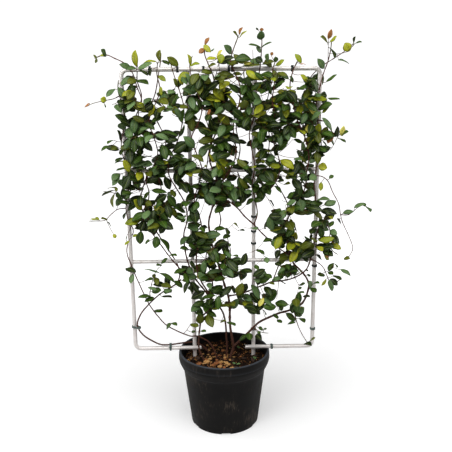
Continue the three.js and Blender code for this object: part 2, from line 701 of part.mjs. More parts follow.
// The mix also has a socket round each stem that rises from it, closed just under the stem's foot
const rooted = Object.keys(stems).filter((name) => !stems[name].parent);
const heelHeight = 6;
let mix = mixSolid();
for (const name of rooted) {
  const [foot] = curveOf(name).points;
  const sleeve = stemSolid(name, socketClearance, 3);
  const heelRadius = stems[name].radii[0] + socketClearance;
  const heel = new THREE.CylinderGeometry(heelRadius, heelRadius, heelHeight, 8);
  heel.rotateX(Math.PI / 2).translate(foot.x, foot.y, foot.z - 2 * gap + heelHeight / 2);
  mix = mix.subtract(sleeve).subtract(solidOf(heel));
}
solids.potting_mix = [mix, 'mix'];

chips.forEach((chip, index) => {
  solids[`bark_chip_${index + 1}`] = [chipSolid(chip), 'chip'];
});

for (const [name, [solid]] of Object.entries(solids)) {
  stand(name, solid);
}

// Every branch is trimmed to a saddle against its parent
const wood = {};
for (const [name, { parent }] of Object.entries(stems)) {
  wood[name] = stemSolid(name);
  if (parent) {
    wood[name] = largest(wood[name].subtract(stemSolid(parent, gap)));
  }
  stand(name, wood[name]);
}

for (const name of Object.keys(stems)) {
  const grown = [wood[name]];
  for (const place of leafPlaces(name)) {
    const leaf = leafSolid(place);
    if (!isOpen(place) && isClear(name, leaf)) {
      stand(name, leaf);
      grown.push(leaf);
    }
  }
  solids[name] = [largest(wasm.Manifold.union(grown)), rooted.includes(name) ? 'stem' : 'leaf'];
}

const plant = new THREE.Group();
for (const [name, [solid, finish]] of Object.entries(solids)) {
  plant.add(meshOf(name, solid, finish));
}

export default plant;
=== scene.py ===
import json
import math

import bpy
import numpy as np
from mathutils import Matrix, Vector, noise
from mathutils.bvhtree import BVHTree

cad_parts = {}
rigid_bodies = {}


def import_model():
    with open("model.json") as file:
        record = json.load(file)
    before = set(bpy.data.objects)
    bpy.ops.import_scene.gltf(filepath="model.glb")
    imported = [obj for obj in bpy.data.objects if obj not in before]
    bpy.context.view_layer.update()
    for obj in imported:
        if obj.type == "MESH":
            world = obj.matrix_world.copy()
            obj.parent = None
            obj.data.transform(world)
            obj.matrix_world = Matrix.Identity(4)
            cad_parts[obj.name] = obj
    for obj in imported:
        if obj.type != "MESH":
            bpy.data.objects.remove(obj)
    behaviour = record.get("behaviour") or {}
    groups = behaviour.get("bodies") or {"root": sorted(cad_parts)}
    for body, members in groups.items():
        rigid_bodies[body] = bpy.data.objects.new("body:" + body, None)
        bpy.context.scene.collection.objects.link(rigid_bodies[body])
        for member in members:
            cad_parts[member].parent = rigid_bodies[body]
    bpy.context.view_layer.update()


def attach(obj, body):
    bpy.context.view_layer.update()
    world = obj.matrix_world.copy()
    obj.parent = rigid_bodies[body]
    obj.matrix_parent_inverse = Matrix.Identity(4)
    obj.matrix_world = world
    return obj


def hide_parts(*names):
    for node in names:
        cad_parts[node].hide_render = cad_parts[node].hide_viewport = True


# Potted star jasmine on a metal climbing rack.
# Lengths in this script are millimetres and heights are above the floor; makePiece turns them into metres.

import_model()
millimetre = 0.001
noise.seed_set(5)  # so that the wobble of the stems is the same in each run

print("frame loaded")


# Shared helpers

def vary(seed, index):  # a number from 0 to 1 that is always the same for the same seed and place in a list
    value = math.sin(seed * 12.9898 + index * 78.233) * 43758.5453
    return value - math.floor(value)


def unit(vector):
    return vector / max(np.linalg.norm(vector), 1e-9)


def squareTo(axis, vector):  # the unit vector square to the axis that lies nearest to this one
    return unit(vector - axis * np.dot(vector, axis))


def turned(vector, axis, angle):  # vector turned about a unit axis
    cosine, sine = math.cos(angle), math.sin(angle)
    return vector * cosine + np.cross(axis, vector) * sine + axis * np.dot(axis, vector) * (1 - cosine)


def smooth(low, high, value):
    share = np.clip((value - low) / (high - low), 0, 1)
    return share * share * (3 - 2 * share)


def toLinear(colour):  # "#rrggbb" as seen on a screen, to the linear numbers that the shaders take
    channels = [int(colour[i:i + 2], 16) / 255 for i in (1, 3, 5)]
    return tuple(c / 12.92 if c <= 0.04045 else ((c + 0.055) / 1.055) ** 2.4 for c in channels) + (1.0,)


def perMetre(size):  # texture scale for a pattern whose features are this many millimetres wide
    return 1 / (size * millimetre)


def addNode(tree, kind, inputs=None, stops=None, **settings):  # inputs: values, hex colours, nodes or sockets
    node = tree.nodes.new("ShaderNode" + kind)
    for name, value in settings.items():
        setattr(node, name, value)
    if stops:
        elements = node.color_ramp.elements
        elements.remove(elements[-1])
        elements[0].position, elements[0].color = stops[0][0], toLinear(stops[0][1])
        for place, colour in stops[1:]:
            elements.new(place).color = toLinear(colour)
    for name, value in (inputs or {}).items():
        if isinstance(value, bpy.types.Node):
            value = value.outputs[0]
        if isinstance(value, bpy.types.NodeSocket):
            tree.links.new(value, node.inputs[name])
        else:
            node.inputs[name].default_value = toLinear(value) if isinstance(value, str) else value
    return node


def startMaterial(name):  # a material with an empty tree, and the place on the object
    material = bpy.data.materials.new(name)
    material.use_nodes = True
    material.node_tree.nodes.clear()
    return material, material.node_tree, addNode(material.node_tree, "TexCoord").outputs["Object"]


def addObject(name, data):
    made = bpy.data.objects.new(name, data)
    bpy.context.scene.collection.objects.link(made)
    return made


def newBatch():
    return {"verts": [], "faces": [], "count": 0, "values": {}, "slots": []}


def addShape(batch, verts, faces, slot=0, **values):
    batch["verts"].append(np.asarray(verts, float))
    batch["faces"].extend([[corner + batch["count"] for corner in face] for face in faces])
    batch["slots"].extend([slot] * len(faces))
    batch["count"] += len(verts)
    for name, value in values.items():
        value = np.asarray(value, float)
        if value.ndim == 0:
            value = np.full(len(verts), float(value))
        batch["values"].setdefault(name, []).append(value)


def makePiece(name, batch, materials, replaced, sharpAngle=None):
    mesh = bpy.data.meshes.new(name)
    verts = np.concatenate(batch["verts"]) * millimetre
    mesh.from_pydata(verts.tolist(), [], batch["faces"])
    for material in materials:
        mesh.materials.append(material)
    mesh.polygons.foreach_set("material_index", batch["slots"])
    for valueName, values in batch["values"].items():
        stacked = np.concatenate(values)
        if stacked.ndim == 2:
            own = mesh.attributes.new(valueName, "FLOAT_COLOR", "POINT")
            own.data.foreach_set("color", stacked.astype(np.float32).ravel())
        else:
            own = mesh.attributes.new(valueName, "FLOAT", "POINT")
            own.data.foreach_set("value", stacked.astype(np.float32))
    mesh.shade_smooth()
    if sharpAngle:
        mesh.set_sharp_from_angle(angle=math.radians(sharpAngle))
    mesh.update()
    piece = addObject(name, mesh)
    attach(piece, "root")
    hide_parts(*replaced)
    return piece


def evenAngles(count):
    return np.linspace(0, 2 * math.pi, count, endpoint=False)


def onCircle(radius, angle):
    return radius * math.cos(angle), radius * math.sin(angle)


def ringFaces(low, high, count):  # the faces between two rings of corners that start at these numbers
    return [[low + i, low + (i + 1) % count, high + (i + 1) % count, high + i] for i in range(count)]


def endFaces(last, count):  # the flat ends of a tube, at its first ring and at the ring that starts at last
    return [list(range(count - 1, -1, -1)), list(range(last, last + count))]


def ringFrames(points):  # the path's direction and two directions square to it, turning as little as they can
    points = np.asarray(points, float)
    tangents = np.gradient(points, axis=0)
    tangents /= np.maximum(np.linalg.norm(tangents, axis=1), 1e-9)[:, None]
    helper = np.array([0, 0, 1.0]) if abs(tangents[0][2]) < 0.9 else np.array([1.0, 0, 0])
    first = unit(np.cross(tangents[0], helper))
    rows = []
    for tangent in tangents:
        first = squareTo(tangent, first)
        rows.append((first, np.cross(tangent, first)))
    return tangents, rows


def sweep(points, radii, sides, frames=None):  # a closed tube, and where each of its corners stands along it
    rows = frames or ringFrames(points)[1]
    angles = evenAngles(sides)
    cosines, sines = np.cos(angles)[:, None], np.sin(angles)[:, None]
    verts = [point + radius * (cosines * first + sines * second)
             for point, radius, (first, second) in zip(np.asarray(points, float), radii, rows)]
    last = (len(points) - 1) * sides
    faces = [face for low in range(0, last, sides) for face in ringFaces(low, low + sides, sides)]
    return np.concatenate(verts), faces + endFaces(last, sides)


def lathe(outline, sides):  # a closed solid of turning whose outline starts and ends on the axis
    angles, inner = evenAngles(sides), outline[1:-1]
    verts = [(0, 0, outline[0][1])]
    verts += [(*onCircle(radius, angle), height) for radius, height in inner for angle in angles]
    verts.append((0, 0, outline[-1][1]))
    last = 1 + (len(inner) - 1) * sides
    faces = [[0, 1 + (i + 1) % sides, 1 + i] for i in range(sides)]
    faces += [face for low in range(1, last, sides) for face in ringFaces(low, low + sides, sides)]
    return verts, faces + [[last + i, last + (i + 1) % sides, len(verts) - 1] for i in range(sides)]


def curveThrough(points, step):  # the smooth curve through the points, at about even steps
    points = np.asarray(points, float)
    padded = np.vstack([2 * points[0] - points[1], points, 2 * points[-1] - points[-2]])
    places = []
    for i in range(len(points) - 1):
        before, start, end, after = padded[i:i + 4]
        startSlope, endSlope = 0.5 * (end - before), 0.5 * (after - start)
        count = max(2, int(np.linalg.norm(end - start) / step))
        for t in np.linspace(0, 1, count, endpoint=False):
            places.append(start + startSlope * t + (3 * (end - start) - 2 * startSlope - endSlope) * t ** 2
                          + (2 * (start - end) + startSlope + endSlope) * t ** 3)
    places.append(points[-1])
    return np.array(places)


# Camera

camera = {
    "focalPixels": 560,
    "imageSide": 452,
    "sensorWidth": 36,
    "centreDrop": 25,               # pixels that the optical axis lies below the picture's middle
    "pitch": 14.33, "roll": -0.59, "yaw": 0.96,     # degrees
    "place": (-19.8, -1760.3, 1047.7),
}


def makeCamera(values):
    pitch, roll, yaw = (math.radians(values[name]) for name in ("pitch", "roll", "yaw"))
    forward = np.array([math.sin(yaw) * math.cos(pitch), math.cos(yaw) * math.cos(pitch), -math.sin(pitch)])
    right = unit(np.cross(forward, (0, 0, 1)))
    up = np.cross(right, forward)
    levelRight = right * math.cos(roll) + up * math.sin(roll)
    levelUp = up * math.cos(roll) - right * math.sin(roll)
    data = bpy.data.cameras.new("camera")
    data.sensor_width = values["sensorWidth"]
    data.lens = values["focalPixels"] / values["imageSide"] * values["sensorWidth"]
    data.shift_y = values["centreDrop"] / values["imageSide"]
    data.clip_start, data.clip_end = 0.05, 100
    made = addObject("camera", data)
    turn = Matrix([levelRight, levelUp, -forward]).transposed()
    made.matrix_world = Matrix.Translation(Vector(values["place"]) * millimetre) @ turn.to_4x4()
    bpy.context.scene.camera = made


makeCamera(camera)
eye = np.array(camera["place"])


def seenAt(point):  # where a point shows on the plane of the rack, across and height, as the camera sees it
    share = -eye[1] / (point[1] - eye[1])
    return eye[0] + (point[0] - eye[0]) * share, eye[2] + (point[2] - eye[2]) * share


def placedAt(across, height, depth):  # the point at this depth that shows there on the plane of the rack
    share = (depth - eye[1]) / -eye[1]
    return np.array([eye[0] + (across - eye[0]) * share, depth, eye[2] + (height - eye[2]) * share])


print("camera placed")


# Stage: pale sweep paper with a faint glow of its own, a soft sky and five softboxes

stage = {
    "floorSide": 60000,
    "paperColour": "#cfcfcf", "nearGlow": 0.36, "farGlow": 1.06, "glowReach": 2200, "bounce": 0.0,
    "skyColour": "#ffffff", "skyLight": 0.09, "skySeen": 1.1,
    # width, depth, brightness, place and the point it looks at
    "lamps": {
        "overhead": (4200, 2800, 2.95, (-150, -1400, 2900), (0, 0, 600)),
        "frontLeft": (1400, 1800, 2.3, (-1900, -2300, 1900), (0, 0, 700)),
        "leftBack": (1400, 2000, 2.6, (-2700, 900, 1000), (0, 0, 500)),
        "rightBack": (1400, 2000, 1.8, (2700, 900, 1000), (0, 0, 500)),
        "rightFill": (1000, 1800, 0.6, (2200, -900, 1300), (0, 0, 700)),
    },
}


def makeStage(values):
    half = values["floorSide"] / 2 * millimetre
    mesh = bpy.data.meshes.new("floor")
    corners = [(-half, -half, 0), (half, -half, 0), (half, half, 0), (-half, half, 0)]
    mesh.from_pydata(corners, [], [[0, 1, 2, 3]])
    addObject("floor", mesh)
    # matt white sweep paper: an even white with only a faint shadow, a little dimmer under the pot
    material, tree, place = startMaterial("mattSweepPaper")
    rays = addNode(tree, "LightPath")
    away = addNode(tree, "VectorMath", {0: place}, operation="LENGTH")
    seen = addNode(tree, "MapRange", {
        0: away.outputs["Value"], 2: values["glowReach"] * millimetre,
        3: values["nearGlow"], 4: values["farGlow"]})
    glow = addNode(tree, "Mix", {0: rays.outputs["Is Camera Ray"], 2: values["bounce"], 3: seen})
    paper = addNode(tree, "BsdfPrincipled", {
        "Base Color": values["paperColour"], "Roughness": 0.9, "Specular IOR Level": 0.1,
        "Emission Color": values["skyColour"], "Emission Strength": glow})
    addNode(tree, "OutputMaterial", {0: paper})
    mesh.materials.append(material)
    world = bpy.data.worlds.new("sky")
    bpy.context.scene.world = world
    world.use_nodes = True
    world.node_tree.nodes.clear()
    tree = world.node_tree
    rays = addNode(tree, "LightPath")
    strength = addNode(tree, "Mix", {
        0: rays.outputs["Is Camera Ray"], 2: values["skyLight"], 3: values["skySeen"]})
    sky = addNode(tree, "Background", {"Color": values["skyColour"], "Strength": strength})
    addNode(tree, "OutputWorld", {"Surface": sky})
    for name, (width, depth, brightness, place, target) in values["lamps"].items():
        data = bpy.data.lights.new(name, "AREA")
        data.shape = "RECTANGLE"
        data.size, data.size_y = width * millimetre, depth * millimetre
        data.energy = brightness * math.pi * data.size * data.size_y
        lamp = addObject(name, data)
        lamp.location = Vector(place) * millimetre
        lamp.rotation_euler = (Vector(target) - Vector(place)).to_track_quat("-Z", "Y").to_euler()
    bpy.context.scene.view_settings.view_transform = "Standard"
    bpy.context.scene.view_settings.look = "None"


makeStage(stage)
print("stage lit")


# Pot

pot = {
    "height": 255, "rimRadius": 153.5, "rimBand": 24, "collarBand": 63, "baseRadius": 114.6,
    "wallSlope": 0.1215, "wall": 1.8, "floor": 3, "mouthRadius": 144.5, "sides": 128,
    "notches": 6, "notchWidth": 30, "notchHeight": 5, "notchDepth": 7, "notchTurn": 0.8,
}


def wallRadius(height):
    return pot["baseRadius"] + pot["wallSlope"] * height


def makePotMaterial():
    # Polypropylene, injection moulded and handled outdoors: satin black with a soft grey sheen,
    # dusty streaks down the wall and a painted blue-grey highlight on the rim's top edge and two lines below
    material, tree, place = startMaterial("mouldedPolypropylene")
    stretched = addNode(tree, "Mapping", {0: place, "Scale": (1, 1, 0.12)})
    streaks = addNode(tree, "TexNoise", {
        "Vector": stretched, "Scale": perMetre(5), "Detail": 6, "Roughness": 0.7})
    cloud = addNode(tree, "TexNoise", {"Vector": place, "Scale": perMetre(70), "Detail": 4})
    dust = addNode(tree, "Math", {0: streaks, 1: cloud}, operation="MULTIPLY")
    dusty = addNode(tree, "MapRange", {0: dust, 1: 0.17, 2: 0.42, 3: 0.0, 4: 1.0})
    # painted highlight: where this mask is high the colour turns pale blue-grey, a sheen of light on the rim
    sheenMask = addNode(tree, "Attribute", attribute_name="edgeWear")
    speck = addNode(tree, "TexVoronoi", {"Vector": place, "Scale": perMetre(14)})
    specked = addNode(tree, "MapRange", {0: speck.outputs["Distance"], 1: 0.03, 2: 0.05, 3: 0.5, 4: 0.0})
    colour = addNode(tree, "ValToRGB", {0: dusty}, stops=[(0, "#0c0b0b"), (0.5, "#151312"), (1, "#463f38")])
    sheened = addNode(tree, "Mix", {0: sheenMask.outputs["Fac"], 6: colour, 7: "#3c4046"}, data_type="RGBA")
    marked = addNode(tree, "Mix", {0: specked, 6: sheened.outputs[2], 7: "#5a554e"}, data_type="RGBA")
    grain = addNode(tree, "TexNoise", {"Vector": place, "Scale": perMetre(1.2), "Detail": 2})
    rough = addNode(tree, "MapRange", {0: dusty, 3: 0.42, 4: 0.68})
    relief = addNode(tree, "Bump", {"Height": grain, "Strength": 0.25, "Distance": 0.1 * millimetre})
    plastic = addNode(tree, "BsdfPrincipled", {
        "Base Color": marked.outputs[2], "Roughness": rough, "IOR": 1.49,
        "Specular IOR Level": 0.16, "Normal": relief})
    addNode(tree, "OutputMaterial", {0: plastic})
    return material


def makePot(values):
    rimFoot = values["height"] - values["rimBand"]
    collarFoot = values["height"] - values["collarBand"]
    rim, top, mouth, floor, base = (values[name] for name in (
        "rimRadius", "height", "mouthRadius", "floor", "baseRadius"))

    def inside(height):
        return wallRadius(height) - values["wall"]

    outline = [(0, 0), (40, 0), (90, 0), (base - 2.2, 0), (base - 0.4, 0.7), (base + 0.3, 2.4)]
    outline += [(wallRadius(z), z) for z in range(10, int(collarFoot) - 5, 12)]
    outline += [(wallRadius(collarFoot - 3), collarFoot - 3), (wallRadius(collarFoot) + 0.3, collarFoot)]
    # the upper part flares out, with one fine step on the way, to the upright band of the rim
    outline += [
        (rim - 13.6, 197), (rim - 12.1, 200.2), (rim - 11.3, 200.8), (rim - 9.8, 204), (rim - 6.3, 211),
        (rim - 3.6, 217), (rim - 1.8, rimFoot - 9), (rim - 1.0, rimFoot - 4.5), (rim - 0.9, rimFoot - 2),
        (rim - 0.2, rimFoot - 1.2), (rim, rimFoot + 0.4), (rim, rimFoot + 6), (rim - 0.4, rimFoot + 14),
        (rim - 0.8, top - 4.5), (rim - 1.3, top - 2.2), (rim - 2.2, top - 0.7), (rim - 3.6, top),
        (mouth + 2.2, top), (mouth + 0.8, top - 0.5), (mouth, top - 1.8), (mouth - 0.2, top - 8),
        (inside(rimFoot) + 1.4, rimFoot), (inside(collarFoot), collarFoot),
    ]
    outline += [(inside(z), z) for z in (160, 110, 60, 12)]
    outline += [(inside(4.5) - 1.2, floor + 0.4), (inside(4.5) - 4, floor), (0, floor)]
    verts, faces = lathe(outline, values["sides"])
    heights = np.array([v[2] for v in verts])
    radii = np.array([math.hypot(v[0], v[1]) for v in verts])
    # painted highlight: a blue-grey sheen on the rim's top edge, fainter on the foot of the rim band and the
    # fine step below
    rimSheen = smooth(3.0, 0.5, top - heights) * (radii > mouth)
    rimSheen = rimSheen + 0.24 * smooth(2.2, 0.4, np.abs(heights - rimFoot)) * (radii > mouth - 1)
    rimSheen = rimSheen + 0.12 * smooth(1.5, 0.3, np.abs(heights - 200.5)) * (radii > mouth - 4)
    batch = newBatch()
    addShape(batch, verts, faces, edgeWear=rimSheen)
    material = makePotMaterial()
    piece = makePiece("nursery_pot", batch, [material], ["pot"], 35)
    cutters = newBatch()
    for i in range(values["notches"]):
        angle = -math.pi / 2 + math.radians(values["notchTurn"]) + i * 2 * math.pi / values["notches"]
        across = np.array([*onCircle(1, angle), 0])
        along = np.array([-across[1], across[0], 0])
        half, high = values["notchWidth"] / 2, values["notchHeight"]
        # a low arch with rounded corners
        arch = [(-half, -5), (half, -5), (half, high - 3), (half - 1, high - 1), (half - 3, high),
                (3 - half, high), (1 - half, high - 1), (-half, high - 3)]
        ring = [across * (base + reach) + along * x + np.array([0, 0, z])
                for reach in (-values["notchDepth"], 8) for x, z in arch]
        count = len(arch)
        sideFaces = [[(j + 1) % count, count + (j + 1) % count, count + j, j] for j in range(count)]
        addShape(cutters, ring, sideFaces + endFaces(count, count))
    mesh = bpy.data.meshes.new("notchCutter")
    mesh.from_pydata((np.concatenate(cutters["verts"]) * millimetre).tolist(), [], cutters["faces"])
    cutter = addObject("notchCutter", mesh)
    cut = piece.modifiers.new("notches", "BOOLEAN")
    cut.operation, cut.solver, cut.object = "DIFFERENCE", "EXACT", cutter
    bpy.context.view_layer.update()
    shape = bpy.data.meshes.new_from_object(piece.evaluated_get(bpy.context.evaluated_depsgraph_get()))
    piece.modifiers.clear()
    piece.data = shape
    bpy.data.objects.remove(cutter)


makePot(pot)
print("pot turned")


# Potting mix, with loose bark and white grains on it

soil = {
    "top": 226, "foot": 3.4, "clearance": 0.6, "rings": 46, "sides": 150,
    "crumbs": 2200, "crumbSize": (1.2, 4.6),
    "grains": 9, "grainSize": (0.9, 1.5),
    "flakes": 105, "flakeSize": (2.8, 6.4), "flakeShares": (0.35, 0.65), "heap": (-36, 2), "heapReach": 66,
    "seed": 5,
    # loose chips: across, depth, half length, turn, tone of the bark
    "chips": [
        (-55, 53, 8, 10, 0), (-37, 22, 9, 40, 1), (-48, -15, 11, 75, 0), (-15, 8, 8, 20, 1),
        (2, -10, 9, 100, 0), (-16, -48, 12, 30, 0), (11, -58, 13, 115, 0), (-34, -63, 10, 5, 1),
        (-14, -78, 11, 60, 0), (-84, -52, 9, 20, 1), (-106, -51, 8, 80, 2), (-28, 92, 7, 45, 1),
        (-10, 113, 6, 15, 1), (-61, 105, 7, 160, 2), (-62, -24, 9, 150, 1), (53, 10, 8, 35, 2),
        (89, 29, 7, 70, 2), (-74, -82, 10, 100, 2), (-38, -98, 11, 15, 0), (-8, -105, 9, 140, 1),
        (36, -88, 10, 55, 2), (52, -112, 9, 30, 1), (-90, -10, 9, 120, 2), (-100, 22, 8, 60, 1),
        (-76, 66, 9, 95, 2), (30, 62, 8, 150, 2), (66, -20, 9, 20, 2), (96, -34, 10, 75, 2),
        (72, 70, 8, 110, 2), (-4, 44, 9, 65, 1), (34, 24, 7, 130, 1), (-26, -28, 8, 85, 1),
        (26, -30, 9, 10, 2), (-66, -52, 10, 170, 0), (-2, -84, 8, 75, 1), (80, -76, 9, 145, 2),
        (108, 2, 8, 30, 2), (-116, -8, 8, 20, 2), (14, 96, 7, 80, 2), (48, 108, 7, 20, 2),
        (-84, 92, 7, 130, 1), (-122, 40, 7, 70, 2), (118, 46, 7, 120, 2), (-54, -120, 9, 50, 1),
        (10, -126, 10, 5, 2), (-24, -122, 8, 115, 2), (76, -102, 8, 75, 1), (-98, -84, 8, 35, 1),
    ],
    "fallen": [(36, -66, 15), (58, 66, 12), (100, -26, 13)],  # sprigs on the mix: across, depth, leaf length
}
carriedChips = [
    (-58, -44, 13, 20), (-27, -56, 15, 70), (4, -50, 12, 130), (-48, -92, 12, 160), (22, -98, 14, 40),
]


def soilHeight(x, y):  # a low mound with lumps of crumbled bark
    def lumps(scale, layer):
        return noise.noise(Vector((x * scale, y * scale, layer)))

    mound = 1.5 * (1 - math.hypot(x, y) / 140)
    return soil["top"] + mound + (lumps(0.035, 3) * 2.2 + lumps(0.11, 9) * 1.5) - 1.2 + 0.8 * lumps(0.4, 1)


def lump(centre, size, seed, flatness=0.7):  # a small crumb with uneven corners
    golden = (1 + math.sqrt(5)) / 2
    pairs = [(a, b * golden) for b in (1, -1) for a in (-1, 1)]
    corners = [(a, b, 0) for a, b in pairs] + [(0, a, b) for a, b in pairs] + [(b, 0, a) for a, b in pairs]
    faces = [
        [0, 11, 5], [0, 5, 1], [0, 1, 7], [0, 7, 10], [0, 10, 11], [1, 5, 9], [5, 11, 4], [11, 10, 2],
        [10, 7, 6], [7, 1, 8], [3, 9, 4], [3, 4, 2], [3, 2, 6], [3, 6, 8], [3, 8, 9], [4, 9, 5], [2, 4, 11],
        [6, 2, 10], [8, 6, 7], [9, 8, 1],
    ]
    turn = 2 * math.pi * vary(seed, 0)
    verts = []
    for i, corner in enumerate(corners):
        x, y, z = np.array(corner) / 1.9 * (0.7 + 0.6 * vary(seed, i + 1)) * size
        x *= 1 + 0.6 * vary(seed, 20)
        verts.append((centre[0] + x * math.cos(turn) - y * math.sin(turn),
                      centre[1] + x * math.sin(turn) + y * math.cos(turn), centre[2] + z * flatness))
    return verts, faces


def barkChip(x, y, half, turn, seed, height=None):  # an uneven flake with split faces and worn edges
    count = 9
    angle = math.radians(turn)
    forward, side = (math.cos(angle), math.sin(angle)), (-math.sin(angle), math.cos(angle))
    thick = half * (0.2 + 0.12 * vary(seed, 40))
    tilt, roll = 0.35 * (vary(seed, 41) - 0.5), 0.5 * (vary(seed, 42) - 0.5)
    rows = []
    for level, (inset, lift) in enumerate([(0.72, -0.5), (0.98, -0.22), (1.0, 0.2), (0.8, 0.5)]):
        ring = []
        for i in range(count):
            around = 2 * math.pi * i / count
            reach = 0.78 + 0.4 * vary(seed, i)
            along = half * math.cos(around) * reach * inset
            across = half * 0.68 * math.sin(around) * reach * inset
            up = thick * lift * (1 + 0.5 * vary(seed, 50 + level * count + i)) * 1.6
            up += along * tilt + across * roll
            ring.append((along, across, up))
        rows.append(ring)
    lowest = min(up for ring in rows for _, _, up in ring)
    ground = (soilHeight(x, y) if height is None else height) - 0.25 * lowest
    verts = [(x + forward[0] * a + side[0] * b, y + forward[1] * a + side[1] * b, ground + c + thick * 0.3)
             for ring in rows for a, b, c in ring]
    faces = [face for low in range(0, 3 * count, count) for face in ringFaces(low, low + count, count)]
    return verts, faces + endFaces(3 * count, count)


def makeMixMaterial():
    # Composted bark, damp and crumbled: near black brown with fine pale fibres and specks
    material, tree, place = startMaterial("compostedBark")
    fine = addNode(tree, "TexNoise", {
        "Vector": place, "Scale": perMetre(3.5), "Detail": 8, "Roughness": 0.75})
    crumbs = addNode(tree, "TexVoronoi", {"Vector": place, "Scale": perMetre(4)})
    mixed = addNode(tree, "Mix", {0: 0.45, 2: fine, 3: crumbs.outputs["Distance"]})
    own = addNode(tree, "Attribute", attribute_name="crumbTone")
    tone = addNode(tree, "Math", {0: mixed, 1: own.outputs["Fac"]}, operation="ADD")
    colour = addNode(tree, "ValToRGB", {0: tone}, stops=[
        (0.2, "#050302"), (0.45, "#110904"), (0.6, "#26160b"), (0.78, "#5e3a1e"), (1, "#b58a55")])
    relief = addNode(tree, "Bump", {"Height": mixed, "Strength": 0.8, "Distance": 1.2 * millimetre})
    earth = addNode(tree, "BsdfPrincipled", {
        "Base Color": colour, "Roughness": 0.92, "Specular IOR Level": 0.12,
        "Normal": relief})
    addNode(tree, "OutputMaterial", {0: earth})
    return material


def makeChipMaterial(name, dark, middle, pale):
    # Pine bark, torn into flakes: warm and layered, with darker lines along each flake
    material, tree, place = startMaterial(name)
    layers = addNode(tree, "Mapping", {0: place, "Rotation": (0.3, 0.5, 0.8), "Scale": (1, 0.25, 1)})
    grain = addNode(tree, "TexNoise", {
        "Vector": layers, "Scale": perMetre(3), "Detail": 7, "Roughness": 0.7})
    colour = addNode(tree, "ValToRGB", {0: grain}, stops=[(0.3, dark), (0.5, middle), (0.7, pale)])
    relief = addNode(tree, "Bump", {"Height": grain, "Strength": 0.7, "Distance": 0.8 * millimetre})
    bark = addNode(tree, "BsdfPrincipled", {"Base Color": colour, "Roughness": 0.85, "Normal": relief})
    addNode(tree, "OutputMaterial", {0: bark})
    return material


def makeGrainMaterial():
    # Perlite, volcanic glass puffed by heat: chalky white and pitted
    material, tree, place = startMaterial("puffedPerlite")
    pits = addNode(tree, "TexNoise", {"Vector": place, "Scale": perMetre(0.8), "Detail": 3})
    colour = addNode(tree, "ValToRGB", {0: pits}, stops=[(0.35, "#a8a49a"), (0.6, "#e6e2d8")])
    relief = addNode(tree, "Bump", {"Height": pits, "Distance": 0.3 * millimetre})
    chalk = addNode(tree, "BsdfPrincipled", {"Base Color": colour, "Roughness": 0.9, "Normal": relief})
    addNode(tree, "OutputMaterial", {0: chalk})
    return material


barkTones = [
    makeChipMaterial("goldenPineBark", "#6f4521", "#b08046", "#dcb87f"),
    makeChipMaterial("orangePineBark", "#4c2a12", "#854d22", "#b87c40"),
    makeChipMaterial("dampPineBark", "#170e08", "#322013", "#573a24"),
]
mixMaterials = [makeMixMaterial()] + barkTones + [makeGrainMaterial()]


def makeSoil(values):
    batch = newBatch()
    sides, rings, seed = values["sides"], values["rings"], values["seed"]

    def radiusAt(height):
        return wallRadius(height) - pot["wall"] - values["clearance"]

    def scattered(reach, first, i):  # a place within this share of the radius, evenly spread
        angle = 2 * math.pi * vary(seed + first + 1, i)
        return onCircle(edge * reach * math.sqrt(vary(seed + first, i)), angle)

    def sized(limits, share):
        return limits[0] + (limits[1] - limits[0]) * share

    edge, footRadius = radiusAt(values["top"]), radiusAt(values["foot"])
    verts = [(0, 0, soilHeight(0, 0))]
    for ring in range(1, rings + 1):
        for i in range(sides):
            x, y = onCircle(edge * ring / rings, 2 * math.pi * (i + 0.5 * (ring % 2)) / sides)
            verts.append((x, y, soilHeight(x, y) if ring < rings else values["top"] - 2.5))
    verts += [(*onCircle(footRadius, 2 * math.pi * i / sides), values["foot"]) for i in range(sides)]
    faces = [[0, 1 + i, 1 + (i + 1) % sides] for i in range(sides)]
    last = 1 + rings * sides
    faces += [face for low in range(1, last, sides) for face in ringFaces(low + sides, low, sides)]
    faces.append(list(range(last + sides - 1, last - 1, -1)))
    addShape(batch, verts, faces, crumbTone=[-0.05] * len(verts))
    for i in range(values["crumbs"]):
        x, y = scattered(0.97, 0, i)
        size = sized(values["crumbSize"], vary(seed + 2, i) ** 2.2)
        crumb = lump((x, y, soilHeight(x, y) + size * 0.25), size, i + 0.5)
        addShape(batch, *crumb, crumbTone=0.46 * vary(seed + 3, i) ** 4 - 0.03)
    for i in range(values["grains"]):
        x, y = scattered(0.92, 4, i)
        size = sized(values["grainSize"], vary(seed + 6, i))
        grain = lump((x, y, soilHeight(x, y) + size * 0.7), size, i + 70.5, 0.9)
        addShape(batch, *grain, slot=4, crumbTone=0)
    for i, (x, y, half, turn, tone) in enumerate(values["chips"]):
        addShape(batch, *barkChip(x, y, half, turn, i + 3.3), slot=1 + tone, crumbTone=0)
    for i in range(values["flakes"]):  # small flakes, thickest on a heap at the left
        x, y = scattered(0.95, 7, i)
        if i % 3:  # two of three lie on the heap
            reach = values["heapReach"] * math.sqrt(-0.9 * math.log(max(1e-3, vary(seed + 7, i))))
            x, y = np.array(values["heap"]) + onCircle(reach, 2 * math.pi * vary(seed + 8, i))
        if math.hypot(x, y) < edge - 6:
            tone = sum(vary(seed + 10, i) >= share for share in values["flakeShares"])
            flake = barkChip(x, y, sized(values["flakeSize"], vary(seed + 9, i) ** 1.5), 97 * i, i + 200.1)
            addShape(batch, *flake, slot=1 + tone, crumbTone=0)
    makePiece("soil_surface", batch, mixMaterials, ["potting_mix"], 50)
    for i, (x, y, half, turn) in enumerate(carriedChips):
        chip = newBatch()
        addShape(chip, *barkChip(x, y, half * 0.85, turn, i + 60.7, values["top"] + 1.5))
        makePiece(f"chip_{i + 1}", chip, [barkTones[i % 2]], [f"bark_chip_{i + 1}"], 50)


makeSoil(soil)
print("potting mix laid")


# Rack

